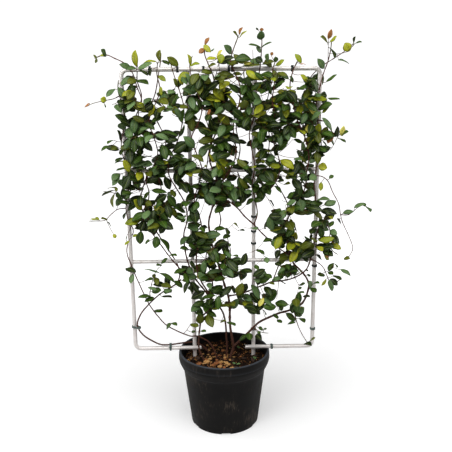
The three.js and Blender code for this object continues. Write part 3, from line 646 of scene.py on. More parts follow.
rack = {
    "width": 597.5, "height": 899, "tube": 6.6, "bore": 5.2, "corner": 19, "low": 261.9,
    "legEndLeft": -77, "legEndRight": 72, "stakeX": 100, "stakeTube": 6.4, "stakeBore": 5.0, "stakeY": 13.3,
    "stakeFoot": 60, "barTube": 6.3, "barHeights": {"cross_bar_lower": 304, "cross_bar_upper": 597},
    "gap": 0.3, "sides": 26, "boreShown": 45,
}
rackHigh = rack["low"] + rack["height"]


def makeRackMaterial():
    # Drawn aluminium tube, weathered: a dull pale grey skin with long fine draw lines and cloudy oxide
    material, tree, place = startMaterial("weatheredDrawnAluminium")
    lines = addNode(tree, "Mapping", {0: place, "Scale": (1, 1, 0.04)})
    drawn = addNode(tree, "TexNoise", {
        "Vector": lines, "Scale": perMetre(1.6), "Detail": 5, "Roughness": 0.6})
    cloud = addNode(tree, "TexNoise", {
        "Vector": place, "Scale": perMetre(22), "Detail": 6, "Roughness": 0.65})
    spots = addNode(tree, "TexNoise", {"Vector": place, "Scale": perMetre(4), "Detail": 4})
    blended = addNode(tree, "Mix", {0: 0.5, 2: drawn, 3: cloud})
    colour = addNode(tree, "ValToRGB", {0: blended}, stops=[
        (0.3, "#e0d7d2"), (0.45, "#efe8e4"), (0.6, "#f8f4f1"), (0.75, "#fdfbfa")])
    stained = addNode(tree, "MapRange", {0: spots, 1: 0.62, 2: 0.74, 3: 0.0, 4: 0.3})
    skin = addNode(tree, "Mix", {0: stained, 6: colour, 7: "#a08f88"}, data_type="RGBA")
    rough = addNode(tree, "MapRange", {0: cloud, 1: 0.3, 2: 0.7, 3: 0.26, 4: 0.42})
    relief = addNode(tree, "Bump", {"Height": blended, "Strength": 0.12, "Distance": 0.1 * millimetre})
    metal = addNode(tree, "BsdfPrincipled", {
        "Base Color": skin.outputs[2], "Metallic": 0.3, "Roughness": rough,
        "Normal": relief})
    addNode(tree, "OutputMaterial", {0: metal})
    return material


rackMaterial = makeRackMaterial()


def openTube(points, outer, bore, batch):  # a tube with flat cut ends that shows its bore for a little way
    tangents, rows = ringFrames(points)
    foot, *middle, head = np.asarray(points, float)
    start, end, shown = tangents[0], tangents[-1], rack["boreShown"]
    places = [foot + start * shown, foot + start * 0.4, foot, foot, foot + start * 0.5, *middle]
    places += [head - end * 0.5, head, head, head - end * 0.4, head - end * shown]
    radii = [bore, bore, bore + 0.3, outer - 0.4, outer] + [outer] * (len(points) - 2)
    radii += [outer, outer - 0.4, bore + 0.3, bore, bore]
    frames = [rows[0]] * 5 + rows[1:-1] + [rows[-1]] * 5
    addShape(batch, *sweep(places, radii, rack["sides"], frames))


def hoopPoints(values):
    side, corner, low, high = values["width"] / 2, values["corner"], values["low"], rackHigh
    corners = [(corner - side, low + corner, -90), (corner - side, high - corner, 180),
               (side - corner, high - corner, 90), (side - corner, low + corner, 0)]
    points = [(values["legEndLeft"], 0, low), (values["legEndLeft"] - 60, 0, low)]
    for x, z, start in corners:
        for i in range(13):
            across, up = onCircle(corner, math.radians(start - 90 * i / 12))
            points.append((x + across, 0, z + up))
    points += [(values["legEndRight"] + 60, 0, low), (values["legEndRight"], 0, low)]
    return points


def makeRack(values):
    hoop = newBatch()
    openTube(hoopPoints(values), values["tube"], values["bore"], hoop)
    makePiece("rack_hoop", hoop, [rackMaterial], ["frame_hoop"], 40)
    for name, x in (("stake_left", -values["stakeX"]), ("stake_right", values["stakeX"])):
        stake = newBatch()
        heights = np.linspace(values["stakeFoot"], rackHigh + 2, 12)
        openTube([(x, values["stakeY"], z) for z in heights], values["stakeTube"], values["stakeBore"], stake)
        makePiece("rack_" + name, stake, [rackMaterial], [name], 40)
    half = values["width"] / 2 - values["tube"] - values["gap"]
    for name, height in values["barHeights"].items():
        bar = newBatch()
        z = values["low"] + height
        # the ends flare into the welds against the two sides
        across = [-half, -half + 0.8, -half + 1.8, -half + 3.5] + list(np.linspace(-half + 30, half - 30, 9))
        across += [half - 3.5, half - 1.8, half - 0.8, half]
        tube = values["barTube"]
        flare = [tube + 0.9, tube + 1.0, tube + 0.35, tube]
        radii = flare + [tube] * 9 + flare[::-1]
        addShape(bar, *sweep([(x, 0, z) for x in across], radii, values["sides"]))
        for i, x in enumerate((-values["stakeX"], values["stakeX"])):  # two small beads of weld at each stake
            addShape(bar, *lump((x - 5, 6.2, z + 4), 1.9, i + 5.1, 1.0))
            addShape(bar, *lump((x + 5, 6.2, z - 4), 1.8, i + 8.1, 1.0))
        makePiece("rack_" + name, bar, [rackMaterial], [name], 40)


makeRack(rack)
print("rack welded")


# Ties: three turns of soft cord side by side, a small knot and two short tails

tie = {"cord": 1.2, "turns": (-2.3, 0, 2.3), "clearance": 0.5, "sides": 8, "tail": 6, "knot": 2.1,
       "bleachedBelow": 500}
side, hoopTube, stakeTube, stakeAt = rack["width"] / 2, rack["tube"], rack["stakeTube"], rack["stakeY"]
# The direction and radius of each run's tube, and the places of its ties
tieRuns = {
    "top": ("x", hoopTube, [(x, 0, rackHigh) for x in (-213, -130, -52, 24, 34, 214)]),
    "left": ("z", hoopTube, [(-side, 0, z) for z in (1024, 972, 342)]),
    "right": ("z", hoopTube, [(side, 0, z) for z in (545, 325)]),
    "stake": ("z", stakeTube, [(100, stakeAt, z) for z in (708, 660, 620, 322)]),
}
tiePlaces = {f"tie_{run}_{i + 1}": (place, along, radius)
             for run, (along, radius, places) in tieRuns.items() for i, place in enumerate(places)}
tiePlaces["tie_leg_left"] = ((-181, 0, rack["low"]), "x", hoopTube)
tiePlaces["tie_leg_right"] = ((161, 0, rack["low"]), "x", hoopTube)
# ties that also hold a stem beside the tube: the reach to the stem, and its radius
tiePlaces["tie_left_3"] += ((15.6, -12), 4.4)
tiePlaces["tie_leg_left"] += ((0, 12), 3.4)


def makeTieMaterial(name, dark, middle, pale):
    # Soft PVC tying cord, extruded: bottle green with a low waxy gloss, and dust in the turns
    material, tree, place = startMaterial(name)
    dust = addNode(tree, "TexNoise", {"Vector": place, "Scale": perMetre(2.5), "Detail": 4})
    colour = addNode(tree, "ValToRGB", {0: dust}, stops=[(0.35, dark), (0.6, middle), (0.8, pale)])
    rough = addNode(tree, "MapRange", {0: dust, 1: 0.3, 2: 0.7, 3: 0.38, 4: 0.62})
    relief = addNode(tree, "Bump", {"Height": dust, "Strength": 0.3, "Distance": 0.2 * millimetre})
    cord = addNode(tree, "BsdfPrincipled", {"Base Color": colour, "Roughness": rough, "Normal": relief})
    addNode(tree, "OutputMaterial", {0: cord})
    return material


darkCord = makeTieMaterial("softTyingCord", "#161d1a", "#2a3631", "#4c5952")
bleachedCord = makeTieMaterial("bleachedTyingCord", "#3b4a44", "#5f716b", "#7f8d86")


def tieLoop(radius, reach, stemRadius, count=36):  # round one circle, or pulled tight round two
    extra = tie["clearance"] + tie["cord"]
    if reach is None:
        return [onCircle(radius + extra, angle) for angle in evenAngles(count)]
    heading = math.atan2(reach[1], reach[0])
    spread = math.acos((radius - stemRadius) / math.hypot(*reach))
    first = np.linspace(heading + spread, heading + 2 * math.pi - spread, count // 2)
    second = np.linspace(heading - spread, heading + spread, count // 2)
    return [onCircle(radius + extra, angle) for angle in first] + [
        tuple(np.array(reach) + onCircle(stemRadius + extra, angle)) for angle in second]


def closedSweep(points, radius, sides):  # a ring of cord whose end meets its start
    points = np.asarray(points, float)
    count = len(points)
    verts = []
    for i in range(count):
        tangent = unit(points[(i + 1) % count] - points[i - 1])
        outward = squareTo(tangent, unit(points[i] - points.mean(axis=0)))
        other = np.cross(tangent, outward)
        for j in range(sides):
            angle = 2 * math.pi * j / sides
            verts.append(points[i] + radius * (math.cos(angle) * outward + math.sin(angle) * other))
    ends = [(i * sides, (i + 1) % count * sides) for i in range(count)]
    return verts, [face for low, high in ends for face in ringFaces(low, high, sides)]


def makeTie(name, place, along, radius, reach=None, stemRadius=0.0):
    seed = sum(map(ord, name)) * 0.37

    def world(x, y, depth):  # the loop's own plane to the rack: on a level tube x runs back and y upwards
        if along == "x":
            return np.array([place[0] + depth, place[1] + x, place[2] + y])
        return np.array([place[0] + x, place[1] + y, place[2] + depth])

    batch = newBatch()
    loop = tieLoop(radius, reach, stemRadius)
    for i, offset in enumerate(tie["turns"]):
        points = [world(x, y, offset + 0.5 * math.sin(math.atan2(y, x) + seed + i)) for x, y in loop]
        addShape(batch, *closedSweep(points, tie["cord"], tie["sides"]))
    # the knot sits at the front, or on top of the tube, and the tails leave it to both sides
    facing = -math.pi / 2 if along == "z" else math.pi * (0.62 + 0.3 * vary(seed, 1))
    knotX, knotY = onCircle(radius + tie["clearance"] + tie["cord"] * 2.1, facing)
    addShape(batch, *lump(world(knotX, knotY, 0), tie["knot"], seed, 1.0))
    for hand in (-1, 1):
        tail = []
        for step in range(6):
            out = tie["tail"] * step / 5 * (0.7 + 0.5 * vary(seed, 3 + hand))
            x, y = onCircle(out * 0.55, facing + 0.25 * hand)
            tail.append(world(knotX + x, knotY + y, hand * out * 0.8) - np.array([0, 0, 0.05 * out ** 1.6]))
        addShape(batch, *sweep(tail, [0.95] * 5 + [0.8], 7))
    cord = bleachedCord if place[2] < tie["bleachedBelow"] else darkCord  # the lower ties are older and paler
    makePiece("cord_" + name, batch, [cord], [name])


for tieName, tieValues in tiePlaces.items():
    makeTie(tieName, *tieValues)
print("ties knotted")


# Plant: woody stems, their branches, the twining shoots and the leaves

leafShape = {
    "length": 50, "width": 0.56, "pairStep": 82, "extraPairs": 2,
    "rows": 9, "across": (-1, -0.58, -0.2, 0, 0.2, 0.58, 1), "thickness": 0.45,
    "petiole": 5, "petioleRadius": 0.75,
    "smallerFrom": 120, "youngFrom": 45,  # distances from the tip of a stem
}
wood = {"ringStep": 5, "sides": 10, "wobble": 0.35, "nodeSwelling": 0.3, "twigRadius": 1.0}

# two colours that a leaf's own colour lies between; G leaves have a painted grey-green sheen, light reflected
# off the waxed top
tones = {
    "D": ("#101c04", "#22340b"), "M": ("#283f0d", "#3a5818"), "G": ("#445f35", "#678353"),
    "O": ("#4a5311", "#646a17"), "Y": ("#838f14", "#a8a925"), "W": ("#cdc54c", "#dcd36a"),
    "B": ("#94582a", "#b97c4a"),
}

# Routes of the stems from foot to tip, each with its radii and the length without leaves.
# Those whose name starts with back stand behind the rack and face the back.
stems = {
    "stem_main": dict(radii=[4.6, 3.4, 2.4, 1.5], bare=205, route=[
        (18, -9, 174), (20, -10, 226), (31, -13, 264), (27, -15, 300), (20, -16, 350), (20, -16, 400),
        (16, -16, 445), (3, -16, 490), (-8, -16, 530), (-21, -16, 575), (-34, -17, 620), (-42, -18, 665),
        (-44, -18, 700), (-32, -18, 745), (-16, -18, 790), (-20, -18, 840), (-38, -18, 890),
        (-32, -18, 940), (-12, -18, 990), (-8, -18, 1040), (-22, -18, 1090), (-22, -16, 1135),
        (-38, -14, 1175), (-48, -14, 1205), (-44, -14, 1238),
    ]),
    "stem_centre": dict(radii=[3.4, 2.6, 1.9, 1.4], bare=245, route=[
        (7, 7, 174), (8, 5, 226), (10, -1, 262), (8, -3, 300), (6, -6, 345), (-1, -10, 385),
        (-16, -13, 413), (-36, -15, 430), (-58, -16, 465), (-92, -16, 512), (-112, -16, 560),
        (-122, -18, 610), (-124, -20, 660), (-112, -22, 710), (-118, -22, 760), (-142, -20, 805),
        (-165, -20, 850), (-160, -20, 900), (-138, -20, 945), (-120, -22, 1000), (-113, -22, 1050),
        (-125, -22, 1100), (-140, -18, 1145), (-150, -14, 1182),
    ]),
    "stem_left": dict(radii=[3.0, 2.4, 1.9, 1.4], bare=130, route=[
        (-66, -32, 174), (-69, -30, 228), (-84, -26, 268), (-84, -24, 310), (-79, -22, 350),
        (-76, -22, 375), (-63, -26, 393), (-47, -28, 408), (-40, -29, 438), (-52, -29, 470),
        (-74, -29, 510), (-86, -29, 560), (-82, -29, 610), (-66, -30, 660), (-72, -30, 715),
        (-88, -29, 765), (-75, -29, 815), (-62, -29, 865), (-78, -29, 915), (-92, -29, 960),
        (-70, -29, 1005), (-58, -29, 1050), (-72, -28, 1095), (-88, -20, 1140), (-92, -14, 1172),
        (-84, -14, 1198),
    ]),
    "stem_low_left": dict(radii=[3.2, 2.8, 2.5, 2.2], bare=520, route=[
        (-50, 34, 174), (-54, 34, 228), (-76, 32, 254), (-99, 28, 269), (-120, 16, 275), (-150, 5, 276),
        (-182, 0, 274), (-212, -3, 276), (-240, -7, 291), (-266, -10, 311), (-283, -12, 335),
        (-287, -12, 360), (-273, -12, 392), (-250, -12, 420), (-226, -13, 444), (-200, -14, 465),
        (-175, -14, 480), (-150, -9, 494), (-138, -10, 508),
    ]),
    "stem_left_stile": dict(radii=[2.4, 1.8, 1.6, 1.4], bare=640, route=[
        (-22, -20, 182), (-26, -22, 228), (-34, -25, 262), (-48, -28, 290), (-66, -32, 306),
        (-88, -34, 318), (-112, -33, 318), (-150, -28, 332), (-190, -24, 354), (-215, -21, 382),
        (-232, -19, 405), (-246, -20, 430), (-258, -20, 458), (-272, -18, 492), (-286, -15, 528),
        (-298, -11, 560), (-309, -5, 590), (-310, 4, 615), (-300, 11, 640), (-288.5, 6.5, 662),
        (-289, -6, 684), (-299, -11, 705), (-304, -12, 745), (-296, -12, 790), (-290, -13, 840),
        (-300, -13, 890), (-309, -11, 930), (-302, -13, 972), (-292, -13, 1015), (-298, -13, 1060),
        (-309, -9, 1100), (-306, -11, 1132),
    ]),
    "stem_right": dict(parent="stem_main", radii=[3.8, 3.0, 2.2, 1.6], bare=215, route=[
        (30, -14, 270), (50, -15, 289), (72, -15, 310), (98, -17, 338), (118, -17, 357), (150, -17, 373),
        (182, -17, 387), (205, -17, 393), (230, -15, 401), (256, -14, 416), (270, -14, 438),
        (277, -14, 462), (280, -14, 485), (271, -14, 508), (258, -14, 525), (244, -14, 541),
        (229, -14, 556), (221, -15, 580), (206, -16, 615), (212, -17, 655), (205, -18, 700),
        (232, -18, 755), (258, -18, 800), (262, -18, 850), (268, -18, 900), (256, -18, 955),
        (232, -18, 1005), (216, -18, 1060), (206, -18, 1110), (214, -15, 1150), (228, -14, 1182),
    ]),
    "stem_cross": dict(parent="stem_main", radii=[2.6, 2.2, 1.8, 1.4], bare=40, route=[
        (15, -16, 448), (42, -23, 456), (75, -24, 466), (100, -24, 476), (130, -24, 488), (160, -24, 499),
        (200, -24, 503), (232, -23, 512), (258, -22, 527), (274, -20, 546), (284, -18, 578),
        (291, -14, 612), (302, -13, 655), (309, -10, 692), (304, -12, 730), (292, -13, 775),
        (288, -13, 825), (296, -13, 875), (307, -11, 920), (302, -12, 965), (292, -13, 1010),
        (288, -13, 1055), (296, -13, 1100), (305, -12, 1140), (318, -8, 1175), (326, -6, 1207),
        (329, -6, 1240),
    ]),
    "shoot_sweep": dict(parent="stem_main", radii=[2.6, 1.8], bare=110, route=[
        (-24, -18, 770), (10, -27, 770), (45, -29, 745), (70, -29, 716), (98, -29, 690), (118, -27, 668),
        (140, -27, 646), (162, -27, 626), (188, -28, 605), (212, -29, 590), (232, -29, 586),
    ]),
    "shoot_left_inner": dict(parent="stem_left_stile", radii=[1.9, 1.4], bare=20, route=[
        (-296, -12, 790), (-275, -22, 815), (-258, -25, 850), (-252, -25, 895), (-266, -25, 940),
        (-272, -25, 985), (-256, -25, 1030), (-238, -25, 1070), (-250, -23, 1110), (-262, -17, 1150),
        (-285, -13, 1178), (-312, -11, 1192), (-340, -11, 1203), (-372, -13, 1194),
    ]),
    "shoot_left_drop": dict(parent="stem_centre", radii=[2.0, 1.6, 1.4], bare=40, route=[
        (-98, -16, 524), (-128, -26, 538), (-150, -30, 562), (-175, -30, 595), (-195, -30, 625),
        (-215, -30, 655), (-240, -30, 690), (-252, -30, 728), (-232, -30, 768), (-228, -30, 800),
        (-234, -30, 835), (-214, -30, 872), (-196, -30, 912), (-204, -30, 960), (-218, -30, 1010),
        (-200, -30, 1055), (-182, -28, 1100), (-190, -19, 1145), (-187, -14, 1182),
    ]),
    "shoot_middle": dict(parent="stem_main", radii=[1.6, 1.1], bare=24, route=[
        (-10, -16, 540), (8, -27, 566), (24, -28, 596), (16, -28, 640), (10, -28, 676),
    ]),
    "shoot_centre": dict(parent="stem_main", radii=[2.0, 1.5], bare=20, route=[
        (-17, -18, 812), (5, -28, 835), (28, -30, 872), (44, -30, 915), (36, -30, 965), (38, -30, 1015),
        (54, -30, 1065), (56, -27, 1110), (40, -18, 1150), (29, -13, 1182), (38, -12, 1216),
        (52, -12, 1252),
    ]),
    "shoot_centre_right": dict(parent="shoot_sweep", radii=[2.0, 1.5], bare=70, route=[
        (100, -29, 688), (108, -36, 725), (102, -34, 770), (93, -29, 820), (100, -26, 870), (92, -26, 920),
        (84, -26, 970), (98, -26, 1020), (106, -26, 1070), (103, -25, 1115), (114, -17, 1150),
        (119, -13, 1190), (121, -12, 1222), (122, -12, 1250),
    ]),
    "shoot_right": dict(parent="shoot_centre_right", radii=[2.0, 1.5], bare=20, route=[
        (102, -34, 768), (126, -38, 786), (152, -36, 808), (172, -33, 840), (178, -31, 880),
        (164, -31, 925), (152, -31, 970), (160, -31, 1020), (152, -31, 1070), (158, -29, 1115),
        (153, -19, 1150), (162, -14, 1184),
    ]),
    "shoot_right_hang": dict(parent="stem_cross", radii=[1.5, 1.0], bare=70, route=[
        (290, -13, 838), (310, -20, 838), (330, -20, 823), (347, -18, 787), (366, -18, 752),
        (374, -18, 716), (382, -18, 690), (404, -18, 645), (418, -18, 605), (406, -18, 578),
        (392, -18, 566),
    ]),
    "shoot_right_spray": dict(parent="shoot_right_hang", radii=[1.2, 0.9], bare=12, route=[
        (374, -18, 714), (398, -22, 716), (420, -22, 733), (440, -22, 748), (460, -22, 738),
    ]),
    "shoot_right_outer": dict(parent="stem_cross", radii=[1.8, 1.3], bare=12, route=[
        (308, -11, 700), (328, -20, 690), (342, -22, 662), (338, -22, 628), (352, -22, 600),
        (370, -22, 586),
    ]),
    "shoot_right_low": dict(parent="stem_cross", radii=[1.6, 1.2], bare=60, route=[
        (282, -18, 572), (306, -24, 561), (323, -24, 545), (335, -24, 520), (345, -24, 500),
        (366, -24, 494), (386, -24, 508),
    ]),
    "shoot_right_high": dict(parent="stem_cross", radii=[1.6, 1.2], bare=12, route=[
        (292, -13, 1012), (318, -20, 1002), (335, -20, 977), (352, -20, 962), (374, -20, 974),
    ]),
    "shoot_low_right": dict(parent="stem_right", radii=[1.5, 1.0], bare=30, route=[
        (230, -15, 401), (237, -24, 375), (246, -24, 345), (262, -22, 310), (278, -19, 284),
        (293, -17, 268),
    ]),
    "shoot_low_pot": dict(parent="stem_right", radii=[1.4, 1.0], bare=12, route=[
        (99, -17, 340), (112, -26, 330), (130, -27, 323), (148, -27, 321),
    ]),
    "shoot_left_tip": dict(parent="stem_left_stile", radii=[1.3, 0.9], bare=30, route=[
        (-306, -10, 1085), (-325, -14, 1077), (-355, -14, 1072), (-385, -14, 1065), (-404, -14, 1056),
    ]),
    "shoot_left_side": dict(parent="stem_left_stile", radii=[1.4, 1.1], bare=50, route=[
        (-304, -12, 746), (-330, -16, 742), (-352, -17, 726), (-372, -17, 708), (-398, -17, 706),
        (-424, -17, 706),
    ]),
    "shoot_left_bunch": dict(parent="stem_left_stile", radii=[1.4, 1.0], bare=10, route=[
        (-298, -12, 778), (-322, -17, 788), (-346, -17, 796), (-372, -17, 800),
    ]),
    "shoot_low_left": dict(parent="stem_low_left", radii=[1.4, 1.0], bare=14, route=[
        (-234, -13, 437), (-240, -26, 462), (-232, -26, 500), (-222, -26, 530), (-208, -27, 554),
    ]),
    "back_far_left": dict(parent="back_left", radii=[1.9, 1.5], bare=20, route=[
        (-232, 30, 692), (-252, 36, 716), (-266, 37, 752), (-255, 37, 800), (-240, 36, 850),
        (-255, 36, 905), (-242, 36, 965), (-258, 36, 1025), (-245, 33, 1085), (-255, 26, 1130),
        (-251, 13, 1168), (-250, 11, 1196),
    ]),
    "back_centre": dict(parent="stem_centre", radii=[2.2, 1.8, 1.4], bare=60, route=[
        (-40, -15, 436), (-35, 2, 475), (-42, 22, 520), (-56, 28, 575), (-30, 30, 640), (-6, 30, 690),
        (-20, 30, 750), (-50, 30, 820), (-44, 30, 895), (-34, 30, 960), (-48, 30, 1025), (-34, 30, 1085),
        (-18, 24, 1135), (-6, 15, 1178),
    ]),
    "back_right": dict(parent="stem_main", radii=[2.2, 1.8, 1.4], bare=30, route=[
        (-32, -18, 745), (-14, -4, 762), (12, 18, 776), (40, 29, 786), (62, 30, 812), (48, 30, 860),
        (58, 30, 925), (46, 30, 990), (62, 30, 1055), (74, 28, 1110), (70, 20, 1152), (82, 14, 1178),
    ]),
    "back_right_outer": dict(parent="stem_cross", radii=[2.0, 1.7, 1.4], bare=60, route=[
        (160, -24, 499), (172, -2, 522), (184, 18, 546), (189, 27, 582), (182, 28, 632), (196, 29, 690),
        (212, 30, 736), (190, 30, 786), (160, 30, 832), (148, 30, 890), (150, 30, 960), (138, 30, 1025),
        (146, 30, 1085), (160, 25, 1135), (174, 15, 1172),
    ]),
    "back_far_right": dict(parent="stem_right", radii=[2.0, 1.7, 1.3], bare=40, route=[
        (232, -18, 755), (241, -4, 778), (250, 18, 802), (258, 30, 840), (248, 30, 895), (262, 30, 960),
        (250, 30, 1025), (262, 30, 1085), (274, 25, 1135), (304, 13, 1166), (342, 6, 1190), (376, 4, 1212),
        (398, 4, 1232),
    ]),
    "back_left": dict(parent="stem_low_left", radii=[2.2, 1.9, 1.5], bare=40, route=[
        (-150, -9, 494), (-143, 6, 520), (-152, 22, 552), (-178, 28, 596), (-206, 30, 642), (-232, 30, 692),
        (-226, 30, 745), (-196, 30, 795), (-205, 30, 850), (-190, 30, 900), (-175, 30, 950),
        (-195, 30, 1000), (-215, 30, 1050), (-200, 28, 1100), (-190, 22, 1145), (-182, 14, 1180),
        (-178, 12, 1208),
    ]),
}


# Where the rack shows through the leaves: ellipses on the plane of the rack, across, height and half sizes
gaps = [
    (-205, 1118, 38, 20), (-160, 1132, 14, 14), (-157, 1020, 22, 20), (-122, 1078, 16, 12),
    (-285, 1110, 8, 14), (-247, 1075, 12, 20), (-265, 1032, 18, 16), (-215, 920, 18, 20),
    (-265, 965, 12, 10), (-172, 942, 12, 10), (-72, 932, 22, 14), (-68, 968, 22, 14), (-62, 1025, 16, 24),
    (-50, 890, 16, 14), (-70, 872, 16, 10), (-80, 1145, 10, 6), (-38, 1140, 8, 10), (-155, 1112, 10, 12),
    (-218, 885, 12, 6), (-15, 1020, 10, 10), (42, 1120, 14, 12), (94, 1120, 8, 12), (138, 1084, 18, 14),
    (222, 1122, 26, 22), (240, 1085, 14, 12), (278, 1086, 8, 10), (38, 1080, 14, 10), (12, 1040, 8, 12),
    (28, 1018, 10, 8), (55, 972, 14, 22), (84, 955, 12, 14), (141, 1030, 8, 14), (222, 925, 24, 24),
    (240, 962, 16, 10), (142, 932, 18, 16), (75, 905, 24, 22), (40, 900, 10, 12), (45, 855, 26, 12),
    (190, 890, 12, 10), (212, 892, 12, 10), (252, 872, 10, 8), (148, 866, 10, 6), (172, 900, 10, 10),
    (-222, 800, 20, 24), (-135, 770, 28, 14), (-118, 830, 18, 16), (-85, 832, 14, 10), (-258, 788, 10, 10),
    (-142, 665, 30, 40), (-232, 655, 10, 16), (-280, 680, 10, 14), (-140, 610, 28, 36), (-235, 590, 50, 22),
    (-255, 565, 30, 10), (-50, 720, 24, 34), (15, 715, 26, 26), (40, 640, 22, 40), (-15, 640, 12, 12),
    (-62, 478, 14, 16), (-25, 488, 18, 14), (-130, 415, 22, 60), (65, 842, 30, 8), (45, 815, 10, 8),
    (190, 842, 10, 8), (175, 755, 36, 26), (208, 800, 18, 10), (255, 675, 20, 36), (125, 725, 20, 18),
    (50, 715, 45, 30), (60, 625, 38, 38), (125, 640, 20, 20), (130, 600, 14, 14), (165, 595, 8, 16),
    (-230, 1092, 24, 16), (-242, 815, 12, 36), (35, 820, 16, 14), (-58, 735, 16, 24), (-125, 668, 22, 20),
    (275, 700, 14, 20), (-75, 570, 20, 16), (185, 585, 16, 12), (10, 490, 36, 14), (190, 1100, 12, 10),
    (330, 800, 20, 30), (242, 1148, 20, 16), (-240, 1030, 12, 12), (-90, 970, 18, 14), (150, 968, 12, 10),
    (30, 940, 10, 12), (-242, 910, 12, 10), (-92, 910, 20, 16), (212, 880, 18, 12), (-272, 850, 10, 10),
    (-152, 850, 14, 10), (35, 850, 14, 10), (205, 820, 20, 12), (-270, 790, 14, 12), (212, 790, 20, 16),
    (-60, 762, 16, 14), (-270, 728, 12, 10), (240, 700, 26, 20), (362, 700, 16, 12), (358, 668, 16, 14),
    (-30, 668, 14, 12), (-30, 612, 12, 12), (-62, 582, 14, 12), (150, 582, 22, 14), (182, 578, 12, 10),
    (-30, 490, 16, 12), (92, 488, 10, 10), (180, 462, 18, 12), (182, 432, 24, 14), (212, 430, 16, 12),
    (0, 430, 14, 12), (-88, 430, 12, 10), (0, 400, 16, 12), (90, 370, 14, 12), (205, 340, 18, 12),
    (-62, 490, 12, 12), (-90, 488, 14, 12), (-90, 460, 12, 10), (30, 462, 12, 10), (30, 430, 10, 10),
    (120, 462, 10, 12), (208, 400, 12, 12), (-120, 430, 14, 14), (-242, 848, 10, 10), (-210, 940, 12, 12),
    (-180, 940, 10, 8),
]

barShown = (-245, 300, 9)  # the stretch of the top bar that shows: from, to and half its height

# Where the leaves stand thick
thickets = [
    (115, 1075, 175, 75), (-265, 1050, 50, 90), (-240, 900, 70, 90), (-130, 900, 60, 70), (0, 900, 70, 150),
    (60, 1070, 90, 80), (170, 1060, 80, 90), (270, 900, 50, 70), (150, 860, 90, 50), (-20, 800, 110, 70),
    (-270, 790, 50, 70), (-150, 740, 60, 40), (250, 760, 70, 60), (330, 660, 40, 70), (-90, 700, 40, 50),
    (-60, 600, 70, 60), (-80, 520, 70, 50), (20, 540, 60, 50), (200, 610, 60, 50), (290, 600, 40, 40),
    (-110, 1090, 90, 75), (-30, 1130, 60, 35), (75, 1178, 80, 14), (270, 1060, 52, 85), (250, 1000, 60, 45),
    (150, 955, 60, 55), (95, 800, 55, 32), (-235, 700, 65, 30), (195, 695, 50, 32), (-30, 425, 75, 45),
    (60, 445, 50, 28), (110, 410, 40, 28), (165, 430, 38, 32), (140, 490, 55, 24), (-205, 475, 45, 28),
    (235, 385, 28, 32), (240, 345, 16, 16), (220, 520, 36, 16), (-60, 385, 50, 28), (325, 585, 22, 20),
    (-330, 930, 28, 26), (0, 1150, 24, 18), (105, 1105, 30, 28), (270, 1118, 18, 16), (-90, 1000, 22, 14),
    (-150, 955, 42, 24), (335, 955, 24, 26), (35, 878, 40, 16), (-60, 880, 16, 14), (-150, 792, 20, 14),
    (-330, 760, 18, 16), (330, 758, 16, 14), (90, 672, 18, 12), (-300, 612, 14, 14), (300, 582, 16, 14),
    (-240, 492, 16, 12), (120, 490, 20, 14), (300, 490, 16, 12), (-180, 462, 16, 14), (240, 430, 18, 14),
    (-60, 402, 22, 14), (120, 402, 16, 14), (0, 345, 14, 12), (-150, 1120, 20, 16), (-150, 968, 24, 16),
    (118, 1120, 22, 14), (330, 968, 16, 14),
]
